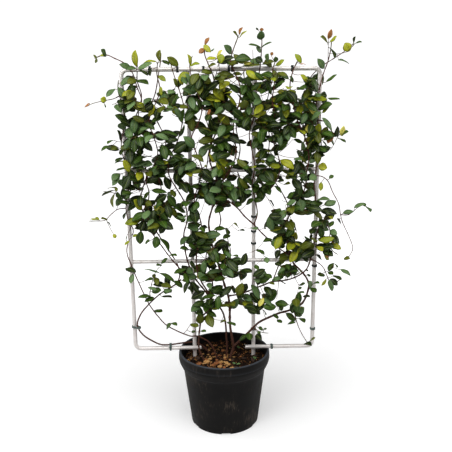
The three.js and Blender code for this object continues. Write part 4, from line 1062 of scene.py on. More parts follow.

# Leaves given one by one, on the plane of the rack: base across and height, tip across and height, width as
# seen, and tone
placedLeaves = {
    "top left": [
        (-368, 1193, -379, 1204, 6, "O"), (-368, 1193, -374, 1181, 8, "O"),
        (-340, 1200, -354, 1219, 14, "M"), (-341, 1200, -359, 1202, 7, "Y"),
        (-266, 1164, -303, 1176, 18, "G"), (-248, 1163, -282, 1160, 9, "G"),
        (-251, 1168, -252, 1217, 17, "Y"), (-275, 1166, -258, 1187, 7, "O"),
        (-248, 1164, -205, 1180, 15, "G"), (-192, 1184, -230, 1181, 9, "Y"),
        (-184, 1185, -179, 1217, 13, "O"), (-190, 1188, -162, 1173, 12, "Y"),
        (-173, 1188, -155, 1173, 12, "D"), (-127, 1172, -160, 1196, 22, "O"),
        (-91, 1172, -99, 1204, 13, "Y"), (-93, 1170, -62, 1176, 9, "Y"), (-48, 1231, -33, 1250, 11, "B"),
        (-50, 1220, -65, 1206, 15, "B"), (-50, 1229, -30, 1208, 17, "Y"), (-30, 1210, -18, 1218, 4, "G"),
        (-11, 1190, 5, 1215, 9, "W"), (-14, 1193, -43, 1189, 10, "Y"), (3, 1203, 0, 1176, 22, "Y"),
        (-40, 1166, -15, 1174, 9, "O"), (-188, 1143, -166, 1127, 15, "Y"),
        (-273, 1140, -302, 1116, 17, "G"), (-254, 1134, -283, 1121, 20, "O"),
        (-254, 1130, -218, 1119, 13, "M"), (-240, 1161, -220, 1144, 13, "D"),
        (-210, 1165, -211, 1143, 12, "D"), (-320, 1107, -346, 1083, 13, "G"),
        (-398, 1066, -414, 1053, 6, "B"), (-348, 1072, -365, 1078, 20, "Y"),
        (-353, 1063, -352, 1052, 4, "M"), (-271, 1102, -301, 1080, 20, "Y"),
        (-262, 1098, -284, 1075, 22, "O"), (-312, 1075, -300, 1055, 18, "D"),
        (-283, 1060, -262, 1040, 20, "D"), (-234, 1062, -256, 1054, 16, "Y"),
        (-211, 1078, -235, 1060, 14, "G"), (-206, 1060, -222, 1025, 18, "Y"),
        (-207, 1062, -232, 1045, 24, "D"), (-190, 1050, -200, 1015, 22, "D"),
        (-214, 1008, -177, 1025, 16, "M"), (-236, 1011, -272, 1025, 20, "O"),
        (-260, 1020, -270, 975, 28, "G"), (-233, 1005, -205, 985, 18, "M"), (-232, 995, -257, 972, 14, "M"),
        (-186, 978, -135, 965, 14, "M"), (-204, 963, -160, 962, 16, "M"), (-132, 962, -115, 1000, 13, "M"),
        (-310, 955, -320, 985, 13, "D"), (-318, 996, -300, 997, 5, "M"), (-330, 955, -352, 944, 7, "M"),
        (-322, 935, -342, 924, 18, "O"), (-342, 938, -372, 922, 8, "M"), (-302, 930, -312, 908, 12, "D"),
        (-305, 900, -332, 890, 8, "M"), (-300, 888, -334, 884, 6, "M"), (-300, 872, -330, 862, 10, "M"),
        (-320, 853, -345, 830, 22, "G"), (-250, 950, -215, 920, 22, "D"), (-230, 980, -232, 950, 20, "M"),
        (-252, 908, -255, 930, 22, "D"), (-288, 915, -262, 895, 24, "G"), (-198, 925, -150, 905, 22, "M"),
        (-105, 945, -150, 915, 34, "D"), (-230, 868, -195, 845, 20, "M"), (-280, 875, -232, 885, 18, "G"),
        (-170, 888, -145, 892, 16, "M"), (-205, 890, -180, 878, 20, "M"), (-145, 865, -85, 885, 22, "D"),
        (-95, 907, -57, 885, 16, "O"), (-55, 872, -48, 874, 8, "Y"), (-45, 1115, -92, 1100, 30, "G"),
        (-115, 1140, -105, 1118, 18, "G"), (-130, 1138, -115, 1115, 11, "Y"),
        (-160, 1098, -138, 1070, 22, "D"), (-183, 1112, -180, 1086, 12, "Y"),
        (-105, 1100, -90, 1088, 8, "W"), (-42, 1090, -5, 1072, 12, "O"), (-35, 1070, -12, 1052, 16, "O"),
        (3, 1135, 5, 1100, 11, "W"), (-97, 1060, -70, 1040, 22, "M"), (-115, 1045, -122, 1005, 17, "M"),
        (-35, 1045, -40, 1025, 9, "B"), (-92, 1024, -88, 1016, 8, "Y"), (-27, 993, 0, 985, 20, "D"),
        (-60, 990, -33, 978, 7, "O"), (0, 977, -45, 965, 14, "M"),
    ],
    "top right": [
        (52, 1249, 37, 1266, 9, "O"), (55, 1257, 66, 1278, 9, "B"), (57, 1250, 79, 1268, 6, "Y"),
        (32, 1204, 9, 1228, 20, "G"), (26, 1202, 46, 1209, 6, "Y"), (24, 1172, 61, 1187, 15, "O"),
        (91, 1178, 67, 1174, 11, "W"), (65, 1169, 122, 1172, 10, "O"), (125, 1180, 104, 1192, 20, "D"),
        (120, 1242, 119, 1268, 24, "G"), (121, 1266, 122, 1276, 12, "B"), (112, 1270, 104, 1276, 6, "D"),
        (119, 1222, 83, 1229, 6, "M"), (121, 1222, 152, 1236, 6, "M"), (121, 1209, 105, 1221, 14, "G"),
        (138, 1180, 143, 1203, 14, "G"), (150, 1198, 155, 1208, 10, "B"), (167, 1180, 163, 1195, 14, "M"),
        (164, 1169, 190, 1186, 12, "Y"), (241, 1175, 222, 1202, 15, "Y"), (237, 1173, 255, 1172, 3, "B"),
        (311, 1160, 289, 1188, 20, "G"), (320, 1243, 328, 1271, 15, "B"), (319, 1230, 296, 1249, 6, "O"),
        (325, 1234, 345, 1252, 8, "Y"), (322, 1220, 341, 1188, 6, "D"), (385, 1208, 370, 1232, 27, "Y"),
        (396, 1227, 401, 1249, 5, "D"), (398, 1228, 420, 1233, 5, "M"), (352, 1183, 385, 1172, 6, "G"),
        (317, 1120, 350, 1142, 9, "M"), (325, 1074, 362, 1071, 6, "M"), (309, 1030, 330, 1050, 12, "Y"),
        (302, 1083, 322, 1080, 24, "D"), (300, 1015, 268, 1041, 15, "W"), (341, 978, 308, 1015, 14, "G"),
        (357, 958, 357, 990, 16, "D"), (369, 961, 377, 991, 17, "W"), (372, 961, 392, 973, 10, "M"),
        (360, 953, 385, 940, 7, "M"), (347, 965, 316, 947, 18, "M"), (328, 953, 348, 932, 8, "M"),
        (313, 947, 325, 926, 7, "M"), (300, 930, 325, 912, 22, "M"), (302, 868, 330, 862, 26, "Y"),
        (265, 995, 271, 970, 21, "W"), (205, 993, 229, 955, 26, "M"), (105, 1028, 138, 1033, 20, "Y"),
        (90, 1050, 84, 1026, 20, "G"), (120, 1120, 98, 1100, 20, "Y"), (182, 888, 225, 860, 24, "Y"),
        (119, 975, 110, 952, 13, "Y"), (128, 892, 128, 878, 14, "Y"), (170, 1148, 200, 1140, 12, "O"),
        (240, 1143, 262, 1122, 12, "Y"), (207, 1138, 218, 1120, 10, "M"), (205, 1098, 222, 1078, 18, "O"),
        (88, 983, 65, 1000, 26, "D"), (0, 965, 40, 995, 22, "M"), (0, 975, 55, 952, 16, "D"),
        (28, 1005, 52, 1004, 10, "G"), (35, 1042, 65, 1018, 28, "D"), (10, 1055, 45, 1060, 20, "G"),
        (55, 1110, 88, 1098, 20, "G"),
    ],
    "middle left": [
        (-322, 848, -345, 815, 18, "G"), (-310, 845, -290, 808, 26, "M"), (-330, 805, -360, 806, 6, "O"),
        (-328, 806, -338, 800, 12, "O"), (-340, 800, -381, 782, 5, "D"), (-340, 798, -384, 795, 4, "M"),
        (-340, 789, -346, 745, 12, "O"), (-332, 795, -322, 770, 15, "M"), (-330, 760, -292, 757, 11, "M"),
        (-393, 706, -422, 709, 8, "Y"), (-393, 706, -405, 715, 8, "Y"), (-367, 707, -387, 710, 9, "O"),
        (-368, 700, -357, 684, 4, "M"), (-303, 735, -315, 707, 6, "D"), (-350, 660, -345, 645, 13, "Y"),
        (-308, 655, -310, 636, 4, "M"), (-300, 636, -317, 622, 8, "Y"), (-245, 725, -290, 702, 22, "M"),
        (-250, 700, -265, 668, 26, "D"), (-240, 718, -200, 692, 22, "M"), (-198, 703, -158, 672, 30, "D"),
        (-262, 668, -268, 625, 26, "M"), (-290, 650, -272, 655, 10, "Y"), (-250, 628, -235, 638, 10, "M"),
        (-212, 650, -220, 610, 26, "M"), (-202, 643, -176, 598, 18, "M"), (-112, 648, -137, 620, 18, "G"),
        (-110, 605, -140, 608, 12, "M"), (-110, 605, -74, 592, 12, "D"), (-175, 585, -150, 583, 9, "M"),
        (-180, 575, -203, 560, 13, "M"), (-200, 555, -218, 553, 10, "M"), (-318, 545, -285, 530, 20, "D"),
        (-298, 525, -303, 492, 17, "G"), (-208, 527, -160, 492, 14, "M"), (-208, 527, -258, 540, 9, "G"),
        (-232, 522, -222, 512, 14, "O"), (-256, 502, -230, 505, 12, "M"), (-246, 480, -222, 468, 12, "G"),
        (-205, 488, -172, 478, 20, "O"), (-240, 447, -283, 443, 13, "M"), (-230, 443, -262, 428, 16, "M"),
        (-205, 446, -170, 442, 9, "D"), (-230, 398, -205, 392, 15, "M"), (-112, 348, -85, 338, 15, "O"),
        (-92, 425, -60, 405, 16, "M"), (-52, 392, -25, 370, 16, "M"), (-95, 390, -75, 378, 12, "M"),
        (-70, 440, -28, 447, 14, "M"), (-15, 412, 28, 410, 13, "O"), (-160, 500, -135, 475, 18, "M"),
        (-110, 500, -130, 455, 16, "D"), (-108, 495, -105, 452, 14, "D"), (-105, 495, -82, 455, 16, "D"),
        (-125, 525, -120, 490, 17, "M"), (-118, 540, -98, 525, 24, "G"), (-120, 540, -162, 525, 12, "M"),
        (-55, 522, -2, 530, 16, "G"), (-90, 660, -45, 640, 20, "O"), (-30, 650, -25, 630, 12, "Y"),
        (-70, 680, -60, 660, 16, "M"), (-28, 668, 10, 672, 14, "M"), (12, 675, 15, 650, 14, "D"),
        (0, 640, 25, 650, 14, "M"), (22, 624, 22, 612, 10, "M"), (5, 600, 25, 575, 15, "M"),
        (20, 545, 32, 515, 20, "O"), (-95, 745, -85, 690, 30, "D"), (-198, 745, -188, 700, 16, "D"),
        (-150, 838, -120, 800, 24, "D"), (-180, 840, -165, 800, 24, "D"), (-158, 800, -152, 775, 16, "O"),
        (-222, 800, -175, 790, 18, "M"), (-212, 762, -175, 785, 26, "D"), (-250, 768, -228, 795, 10, "M"),
        (-245, 760, -225, 752, 22, "O"), (-50, 800, -25, 750, 34, "G"), (-92, 745, -90, 725, 22, "G"),
    ],
    "middle right": [
        (295, 840, 275, 825, 26, "G"), (312, 818, 311, 790, 15, "Y"), (338, 828, 350, 840, 12, "M"),
        (275, 800, 290, 772, 16, "G"), (300, 760, 342, 763, 10, "G"), (240, 765, 255, 725, 34, "G"),
        (225, 770, 245, 780, 34, "D"), (208, 768, 228, 785, 14, "M"), (205, 752, 212, 745, 9, "Y"),
        (230, 815, 250, 815, 20, "O"), (195, 812, 215, 814, 10, "O"), (170, 820, 195, 822, 7, "D"),
        (165, 808, 185, 785, 12, "M"), (150, 762, 165, 740, 7, "D"), (168, 730, 188, 728, 12, "M"),
        (115, 842, 155, 820, 24, "G"), (115, 795, 128, 770, 14, "D"), (98, 763, 128, 762, 18, "M"),
        (75, 750, 100, 765, 16, "M"), (40, 755, 62, 748, 20, "M"), (148, 712, 190, 710, 26, "D"),
        (155, 705, 190, 690, 14, "O"), (190, 675, 152, 662, 14, "Y"), (205, 690, 218, 668, 24, "G"),
        (215, 700, 225, 688, 10, "O"), (205, 715, 228, 738, 26, "D"), (205, 668, 225, 645, 14, "Y"),
        (205, 650, 235, 622, 22, "D"), (232, 622, 252, 612, 9, "Y"), (195, 650, 168, 638, 12, "D"),
        (130, 628, 160, 635, 12, "M"), (158, 630, 185, 610, 26, "G"), (185, 628, 198, 620, 10, "O"),
        (106, 600, 135, 583, 12, "M"), (140, 575, 145, 555, 20, "G"), (220, 610, 240, 590, 18, "D"),
        (215, 572, 238, 598, 22, "M"), (170, 572, 185, 598, 18, "D"), (265, 605, 285, 572, 28, "G"),
        (258, 610, 280, 632, 12, "D"), (285, 625, 290, 648, 12, "D"), (322, 605, 340, 580, 22, "M"),
        (305, 580, 322, 563, 10, "D"), (325, 645, 338, 612, 20, "D"), (308, 680, 342, 662, 20, "G"),
        (345, 672, 357, 692, 14, "M"), (340, 708, 355, 700, 12, "Y"), (345, 660, 370, 648, 22, "G"),
        (355, 645, 365, 620, 20, "D"), (350, 615, 385, 598, 18, "Y"), (385, 718, 420, 722, 17, "G"),
        (420, 735, 455, 745, 14, "G"), (445, 750, 457, 738, 12, "M"), (460, 737, 475, 720, 8, "G"),
        (367, 700, 382, 678, 5, "D"), (395, 568, 415, 565, 14, "O"), (345, 525, 362, 552, 18, "M"),
        (345, 522, 362, 512, 14, "M"), (362, 550, 373, 535, 6, "M"), (385, 530, 420, 508, 14, "G"),
        (362, 510, 390, 493, 12, "M"), (310, 513, 335, 512, 15, "M"), (352, 498, 378, 475, 20, "D"),
        (350, 495, 360, 455, 18, "G"), (338, 498, 324, 475, 10, "Y"), (298, 482, 318, 483, 10, "M"),
        (282, 492, 290, 462, 16, "G"), (290, 468, 308, 452, 18, "M"), (250, 478, 270, 482, 9, "M"),
        (248, 465, 260, 470, 9, "M"), (245, 450, 268, 450, 10, "M"), (265, 440, 287, 436, 11, "D"),
        (230, 412, 242, 412, 12, "Y"), (248, 402, 265, 398, 6, "O"), (185, 395, 200, 403, 18, "D"),
        (168, 380, 180, 360, 13, "M"), (180, 358, 195, 345, 12, "M"), (130, 395, 140, 375, 7, "M"),
        (240, 385, 255, 365, 16, "D"), (255, 362, 272, 345, 15, "M"), (215, 342, 240, 345, 12, "M"),
        (92, 482, 118, 430, 24, "G"), (138, 440, 175, 462, 19, "D"), (135, 435, 160, 405, 17, "G"),
        (133, 435, 118, 405, 17, "W"), (75, 432, 98, 412, 18, "O"), (45, 440, 80, 438, 8, "D"),
        (32, 480, 35, 452, 14, "D"), (45, 470, 80, 478, 6, "D"), (98, 510, 138, 535, 24, "D"),
        (62, 535, 95, 525, 20, "D"), (105, 550, 115, 532, 16, "M"), (132, 518, 160, 503, 13, "M"),
        (148, 490, 168, 480, 12, "O"), (160, 498, 188, 500, 14, "G"), (170, 555, 190, 545, 16, "D"),
        (208, 552, 215, 530, 14, "M"), (220, 525, 248, 525, 9, "M"), (205, 512, 222, 512, 7, "M"),
        (272, 530, 280, 526, 6, "D"), (275, 515, 288, 508, 8, "D"), (30, 572, 60, 568, 14, "G"),
        (75, 590, 60, 548, 22, "D"), (12, 595, 22, 575, 14, "G"), (28, 583, 50, 578, 5, "M"),
        (35, 690, 52, 672, 7, "O"), (50, 665, 70, 663, 4, "D"), (132, 674, 140, 670, 6, "D"),
        (108, 715, 112, 722, 6, "O"), (332, 722, 345, 715, 20, "D"),
    ],
    "low": [
        (-176, 350, -193, 330, 13, "M"), (-176, 352, -157, 342, 12, "M"), (-110, 318, -95, 322, 9, "M"),
        (-78, 322, -60, 318, 10, "M"), (-12, 352, 8, 355, 9, "O"), (12, 352, 38, 338, 14, "M"),
        (115, 330, 133, 322, 13, "M"), (133, 325, 145, 326, 7, "M"), (112, 316, 124, 308, 12, "M"),
        (52, 285, 82, 305, 16, "M"), (85, 312, 88, 285, 24, "M"), (108, 305, 128, 285, 22, "D"),
        (272, 268, 298, 262, 14, "D"), (292, 280, 310, 290, 8, "O"),
    ],
}


def makeWoodMaterial():
    # Twining jasmine stems: thin reddish brown bark, ridged along the stem and greener towards the young ends
    material, tree, place = startMaterial("jasmineBark")
    lengthways = addNode(tree, "Mapping", {0: place, "Scale": (1, 1, 0.18)})
    ridges = addNode(tree, "TexNoise", {
        "Vector": lengthways, "Scale": perMetre(1.1), "Detail": 6, "Roughness": 0.7})
    cloud = addNode(tree, "TexNoise", {"Vector": place, "Scale": perMetre(14), "Detail": 4})
    youth = addNode(tree, "Attribute", attribute_name="youth")
    shifted = addNode(tree, "MapRange", {0: cloud, 1: 0.3, 2: 0.7, 3: -0.12, 4: 0.12})
    age = addNode(tree, "Math", {0: youth.outputs["Fac"], 1: shifted}, operation="ADD")
    skin = addNode(tree, "ValToRGB", {0: age}, stops=[
        (0, "#56372b"), (0.35, "#5e3024"), (0.6, "#593820"), (0.8, "#5d582b"), (1, "#7d7d34")])
    darker = addNode(tree, "MapRange", {0: ridges, 1: 0.35, 2: 0.65, 3: 0.55, 4: 1.25})
    colour = addNode(tree, "VectorMath", {0: skin, 3: darker}, operation="SCALE")
    relief = addNode(tree, "Bump", {"Height": ridges, "Strength": 0.6, "Distance": 0.4 * millimetre})
    bark = addNode(tree, "BsdfPrincipled", {
        "Base Color": colour, "Roughness": 0.7, "Specular IOR Level": 0.25,
        "Normal": relief})
    addNode(tree, "OutputMaterial", {0: bark})
    return material


def makeLeafMaterial():
    # Leathery evergreen leaf: a waxed top over the leaf's own green, a paler midrib and fine side veins,
    # and a duller grey-green back
    material, tree, place = startMaterial("waxedJasmineLeaf")
    own = addNode(tree, "Attribute", attribute_name="leafColour")
    along = addNode(tree, "Attribute", attribute_name="leafAlong").outputs["Fac"]
    across = addNode(tree, "Attribute", attribute_name="leafAcross").outputs["Fac"]
    side = addNode(tree, "Attribute", attribute_name="leafSide").outputs["Fac"]
    mottle = addNode(tree, "TexNoise", {
        "Vector": place, "Scale": perMetre(6), "Detail": 5, "Roughness": 0.6})
    tint = addNode(tree, "MapRange", {0: mottle, 1: 0.3, 2: 0.7, 3: 0.8, 4: 1.22})
    body = addNode(tree, "VectorMath", {0: own.outputs["Color"], 3: tint}, operation="SCALE")
    offMiddle = addNode(tree, "Math", {0: across}, operation="ABSOLUTE")
    midrib = addNode(tree, "MapRange", {0: offMiddle, 1: 0.03, 2: 0.12, 3: 1.0, 4: 0.0})
    # the side veins leave the midrib slanting to the tip, eight or nine to a side
    slant = addNode(tree, "Math", {0: offMiddle, 1: -0.16, 2: along}, operation="MULTIPLY_ADD")
    beat = addNode(tree, "Math", {0: slant, 1: 56.0}, operation="MULTIPLY")
    wave = addNode(tree, "Math", {0: beat}, operation="SINE")
    veins = addNode(tree, "MapRange", {0: wave, 1: 0.82, 2: 1.0, 3: 0.0, 4: 0.45})
    lines = addNode(tree, "Math", {0: midrib, 1: veins}, operation="MAXIMUM")
    faded = addNode(tree, "Math", {0: lines, 1: 0.5}, operation="MULTIPLY")
    veined = addNode(tree, "Mix", {0: faded, 6: body, 7: "#7f8f4a"}, data_type="RGBA")
    back = addNode(tree, "Mix", {0: 0.55, 6: veined.outputs[2], 7: "#667a52"}, data_type="RGBA")
    colour = addNode(tree, "Mix", {0: side, 6: back.outputs[2], 7: veined.outputs[2]}, data_type="RGBA")
    rough = addNode(tree, "MapRange", {0: side, 3: 0.62, 4: 0.34})
    uneven = addNode(tree, "MapRange", {0: mottle, 1: 0.3, 2: 0.7, 3: -0.06, 4: 0.08})
    gloss = addNode(tree, "Math", {0: rough, 1: uneven}, operation="ADD")
    height = addNode(tree, "Math", {0: lines, 1: -1.0, 2: mottle}, operation="MULTIPLY_ADD")
    relief = addNode(tree, "Bump", {"Height": height, "Strength": 0.35, "Distance": 0.3 * millimetre})
    leaf = addNode(tree, "BsdfPrincipled", {
        "Base Color": colour.outputs[2], "Roughness": gloss, "IOR": 1.45,
        "Specular IOR Level": 0.26, "Normal": relief})
    addNode(tree, "OutputMaterial", {0: leaf})
    return material


woodMaterial, leafMaterial = makeWoodMaterial(), makeLeafMaterial()

# what already stands, sorted into cells so that only near things are tested against each other
cellSize = 60
standing = {}


def cellsOf(low, high):
    ranges = [range(int(low[i] // cellSize), int(high[i] // cellSize) + 1) for i in range(3)]
    return [(x, y, z) for x in ranges[0] for y in ranges[1] for z in ranges[2]]


def stand(verts, faces):
    verts = np.asarray(verts)
    low, high = verts.min(axis=0), verts.max(axis=0)
    entry = (low, high, BVHTree.FromPolygons(verts.tolist(), faces))
    for cell in cellsOf(low, high):
        standing.setdefault(cell, []).append(entry)


def isClear(verts, faces):
    low, high = verts.min(axis=0), verts.max(axis=0)
    tree = None
    tested = set()
    for cell in cellsOf(low, high):
        for entry in standing.get(cell, ()):
            if id(entry) in tested or (entry[0] > high).any() or (entry[1] < low).any():
                continue
            tested.add(id(entry))
            tree = tree or BVHTree.FromPolygons(verts.tolist(), faces)
            if tree.overlap(entry[2]):
                return False
    return True


def standCut(points, radii, sides=6, step=8):  # a tube stands in short lengths, so that its cells stay few
    for start in range(0, len(points) - 1, step):
        part = points[start:start + step + 1]
        if len(part) > 1:
            stand(*sweep(part, radii[start:start + step + 1], sides))


tubeStep = 50  # the rack's tubes stand in lengths of this many millimetres


def standTube(start, end, radius):
    stand(*sweep([start, end], [radius, radius], 8))


for start in np.arange(-side, side, tubeStep):
    end = start + tubeStep
    for height in (rackHigh, *(rack["low"] + height for height in rack["barHeights"].values())):
        standTube((start, 0, height), (end, 0, height), hoopTube)
    if start < -rack["stakeX"] or start > 60:  # none in the opening of the lower run
        standTube((start, 0, rack["low"]), (end, 0, rack["low"]), hoopTube)
for height in np.arange(rack["low"], rackHigh, tubeStep):
    for hand in (-1, 1):
        standTube((hand * side, 0, height), (hand * side, 0, height + tubeStep), hoopTube)
        stake = hand * rack["stakeX"]
        foot = height - 36  # the stakes start lower
        standTube((stake, stakeAt, foot), (stake, stakeAt, foot + tubeStep), stakeTube)


# Stems

def snapped(route, parent):  # a branch starts on its parent's own line
    route = np.array(route, float)
    if parent:
        line = plant[parent]["points"]
        route[0] = line[np.argmin(np.linalg.norm(line - route[0], axis=1))]
    return route


def pairPlaces(seed, bare, length):  # distances of the leaf pairs along a stem, with further pairs in between
    places, distance, i, extras = [], float(bare), 0, leafShape["extraPairs"]
    while distance < length - 2:
        step = leafShape["pairStep"] * (0.8 + 0.4 * vary(seed + 0.67, i))
        places.append(distance)
        for extra in range(extras):
            share = extra + 0.85 + 0.3 * vary(seed + 0.83, 3 * i + extra)
            between = distance + step * share / (extras + 1)
            if between < length - 2:
                places.append(between)
        distance += step
        i += 1
    return places


def makeStem(name):
    values = stems[name]
    seed = 1 + list(stems).index(name)
    if values.get("parent") and values["parent"] not in plant:
        makeStem(values["parent"])
    points = curveThrough(snapped(values["route"], values.get("parent")), wood["ringStep"])
    steps = np.linalg.norm(np.diff(points, axis=0), axis=1)
    reach = np.concatenate([[0], np.cumsum(steps)])
    radii = np.interp(reach / reach[-1], np.linspace(0, 1, len(values["radii"])), values["radii"])
    pairs = pairPlaces(seed, values["bare"], reach[-1])
    shown = radii.copy()
    for distance in pairs:
        shown *= 1 + wood["nodeSwelling"] * np.exp(-((reach - distance) / 3.5) ** 2)
    if values.get("parent"):
        shown *= 1 + 0.35 * np.exp(-(reach / 9) ** 2)
    wobble = [noise.noise_vector(Vector(point) * 0.06 + Vector((seed, 0, 0))) for point in points]
    drawn = points + np.array(wobble) * wood["wobble"] * np.minimum(1, reach / 20)[:, None]
    shown *= [1 + 0.1 * noise.noise(Vector(point) * 0.11) for point in points]
    shown[-1] *= 0.6
    # the bark is thin and brown where the stem is thick, and green where it is young
    youth = np.clip((2.6 - radii) / 2.2, 0.05, 1) * 0.55 + 0.45 * smooth(90, 0, reach[-1] - reach)
    batch = newBatch()
    addShape(batch, *sweep(drawn, shown, wood["sides"]), youth=np.repeat(youth, wood["sides"]))
    plant[name] = {
        "points": points, "reach": reach, "radii": radii, "pairs": pairs, "seed": seed,
        "face": 1 if name.startswith("back") else -1, "tangents": ringFrames(points)[0], "wood": batch,
        "leaves": newBatch(),
    }
    standCut(points, radii)


plant = {}
for stemName in stems:
    if stemName not in plant:
        makeStem(stemName)
print("stems grown:", len(plant))

# places that a leaf or a twig can start from: point, radius, stem, and where the point shows in the view
holds = []


def addHolds(points, radii, name):
    holds.extend((np.array(point), radius, name, seenAt(point)) for point, radius in zip(points, radii))


for stemName, own in plant.items():
    skip = 40 if stems[stemName].get("parent") is None else 6
    addHolds(own["points"][skip::2], own["radii"][skip::2], stemName)


# Leaves

def makeLeafFaces():
    rows, columns = leafShape["rows"], len(leafShape["across"])
    inner = columns - 2
    top = [[r * columns + c for c in range(columns)] for r in range(rows)]
    start = rows * columns
    under = [[top[r][0]] + [start + r * inner + c for c in range(inner)] + [top[r][-1]] for r in range(rows)]
    faces = []
    for r in range(rows - 1):
        for c in range(columns - 1):
            faces.append([top[r][c], top[r + 1][c], top[r + 1][c + 1], top[r][c + 1]])
            faces.append([under[r][c], under[r][c + 1], under[r + 1][c + 1], under[r + 1][c]])
    for r, order in ((0, 1), (rows - 1, -1)):
        faces.append((top[r] + under[r][-2:0:-1])[::order])
    return faces


leafFaces = makeLeafFaces()
leafAcross = np.array(leafShape["across"])
leafRows = np.linspace(0, 1, leafShape["rows"]) ** np.linspace(1.05, 0.95, leafShape["rows"])


def leafBlade(base, direction, normal, length, width, seed):  # the corners of a blade, from base to tip
    side = np.cross(normal, direction)
    u, t = leafRows[:, None], leafAcross[None, :]
    half = 0.5 * width * np.sin(math.pi * np.clip(leafRows, 0.01, 0.99) ** 0.95) ** 0.66
    half = half * (1 - 0.4 * smooth(0.84, 1, leafRows))
    arch = length * (0.03 + 0.09 * vary(seed, 1))
    fold = 0.1 + 0.3 * vary(seed, 2)
    cup = 0.1 + 0.25 * vary(seed, 3)
    twist = 0.5 * (vary(seed, 4) - 0.5)
    sweepSide = length * 0.09 * (vary(seed, 5) - 0.5)
    z = arch * 4 * u * (1 - u) + half[:, None] * (fold * np.abs(t) - cup * t ** 2 + twist * u * t)
    z = z + 0.7 * np.sin(u * 9 + seed) * np.abs(t) ** 3 - 0.3 * (t == 0)
    x = length * u * np.ones_like(t)
    y = half[:, None] * t + sweepSide * 4 * u * (1 - u)
    thick = leafShape["thickness"] / 2
    top = np.stack([x, y, z + thick * (np.abs(t) < 1)], axis=-1).reshape(-1, 3)
    under = np.stack([x, y, z - thick - 0.35 * (t == 0)], axis=-1)[:, 1:-1].reshape(-1, 3)
    flat = np.concatenate([top, under])
    return base + flat[:, :1] * direction + flat[:, 1:2] * side + flat[:, 2:] * normal


leafCount, sideCounts = leafShape["rows"], (len(leafAcross), len(leafAcross) - 2)  # of the top and the back
leafValues = {
    "leafAlong": np.concatenate([np.repeat(leafRows, count) for count in sideCounts]),
    "leafAcross": np.concatenate([np.tile(leafAcross, leafCount), np.tile(leafAcross[1:-1], leafCount)]),
    "leafSide": np.repeat([1.0, 0.0], [leafCount * count for count in sideCounts]),
}


def leafColour(tone, seed):
    first, second = (np.array(toLinear(colour)) for colour in tones[tone])
    share = vary(seed, 11)
    return (first * (1 - share) + second * share) * np.array([1, 1, 1, 0]) + np.array([0, 0, 0, 1])


def addBlade(batch, verts, tone, seed):
    colour = np.tile(leafColour(tone, seed), (len(verts), 1))
    addShape(batch, verts, leafFaces, leafColour=colour, **leafValues)


def addLeaf(name, verts, tone, seed):
    addBlade(plant[name]["leaves"], verts, tone, seed)
    stand(verts, leafFaces)


def addTwig(name, points, radii, youth):
    addShape(plant[name]["wood"], *sweep(points, radii, 6), youth=youth)


def bent(start, end, sag, count):  # a twig that leaves its start and droops a little on the way
    shares = np.linspace(0, 1, count)
    points = [start + (end - start) * share for share in shares]
    return [point - np.array([0, 0, sag * 4 * share * (1 - share)]) for point, share in zip(points, shares)]


def within(point, ellipses):
    x, z = seenAt(point)
    return any(((x - midX) / width) ** 2 + ((z - midZ) / height) ** 2 < 1
               for midX, midZ, width, height in ellipses)


def inGap(point):
    x, z = seenAt(point)
    onTopBar = barShown[0] < x < barShown[1] and abs(z - rackHigh) < barShown[2]
    return onTopBar or within(point, gaps)


frontDepth, handicap = -7, 500.0  # stems behind this depth count as farther off, if the front is asked for


def nearestHold(x, z, frontOnly=True):
    seen = np.array([hold[3] for hold in holds]) - (x, z)
    depths = np.array([hold[0][1] for hold in holds])
    distances = np.hypot(seen[:, 0], seen[:, 1]) + (handicap * (depths > frontDepth) if frontOnly else 0)
    nearest = int(np.argmin(distances))
    return holds[nearest], distances[nearest]


# How much longer a leaf is than it looks, the length and tones of young ones, the tries to find a free place,
# and the length from which a twig carries further leaves
placing = {"stretch": 1.04, "youngBelow": 16, "youngTones": "BWY", "tries": 8, "longTwig": 15}


def placeLeaf(seed, baseX, baseZ, tipX, tipZ, width, tone):  # a leaf that covers the given place in the view
    (start, radius, name, _), distance = nearestHold(baseX, baseZ)
    seenLength = math.hypot(tipX - baseX, tipZ - baseZ)
    young = tone in placing["youngTones"] or seenLength < placing["youngBelow"]
    length = seenLength * placing["stretch"]
    if not young:
        length = max(length, min(seenLength * 1.5, 34 + 12 * vary(seed, 6)))
    for attempt in range(placing["tries"]):
        own = seed + 0.13 * attempt
        depth = start[1] - radius - 3 - 14 * vary(own, 7) - 0.12 * min(distance, 60)
        base = placedAt(baseX, baseZ, depth)
        lean = math.sqrt(max(0, length ** 2 - (seenLength * 0.99) ** 2))
        tipDepth = depth - lean * (1 if vary(own, 8) < 0.8 else -0.4)
        tip = placedAt(tipX, tipZ, tipDepth)
        direction = unit(tip - base)
        towards = squareTo(direction, unit(eye - base))
        full = leafShape["width"] * length
        roll = math.acos(min(1, width / max(full, width)))
        roll = roll if abs(roll) > 0.15 else 0.3 * (vary(own, 9) - 0.5)
        # of the two ways to turn the blade, the one that shows its top to the light
        ways = [turned(towards, direction, roll), turned(towards, direction, -roll)]
        upright = abs(direction[2]) > 0.85
        normal = ways[int(vary(own, 10) < 0.5)] if upright else max(ways, key=lambda way: way[2])
        verts = leafBlade(base, direction, normal, np.linalg.norm(tip - base), max(full, width), own)
        if isClear(verts, leafFaces):
            break
    else:
        return
    twigRadius = min(wood["twigRadius"], radius * 0.8)
    span = np.linalg.norm(base - start)
    count = max(4, int(span / 6))
    points = bent(start, base + direction * 0.8, min(5, span * 0.08), count)
    isTwig = span > placing["longTwig"]
    radii = np.linspace(twigRadius, leafShape["petioleRadius"], count)
    addTwig(name, points, radii, 0.55 if isTwig else 0.75)
    if isTwig:
        addHolds(points[2:-1], [twigRadius] * (count - 3), name)
    addLeaf(name, verts, tone, seed)


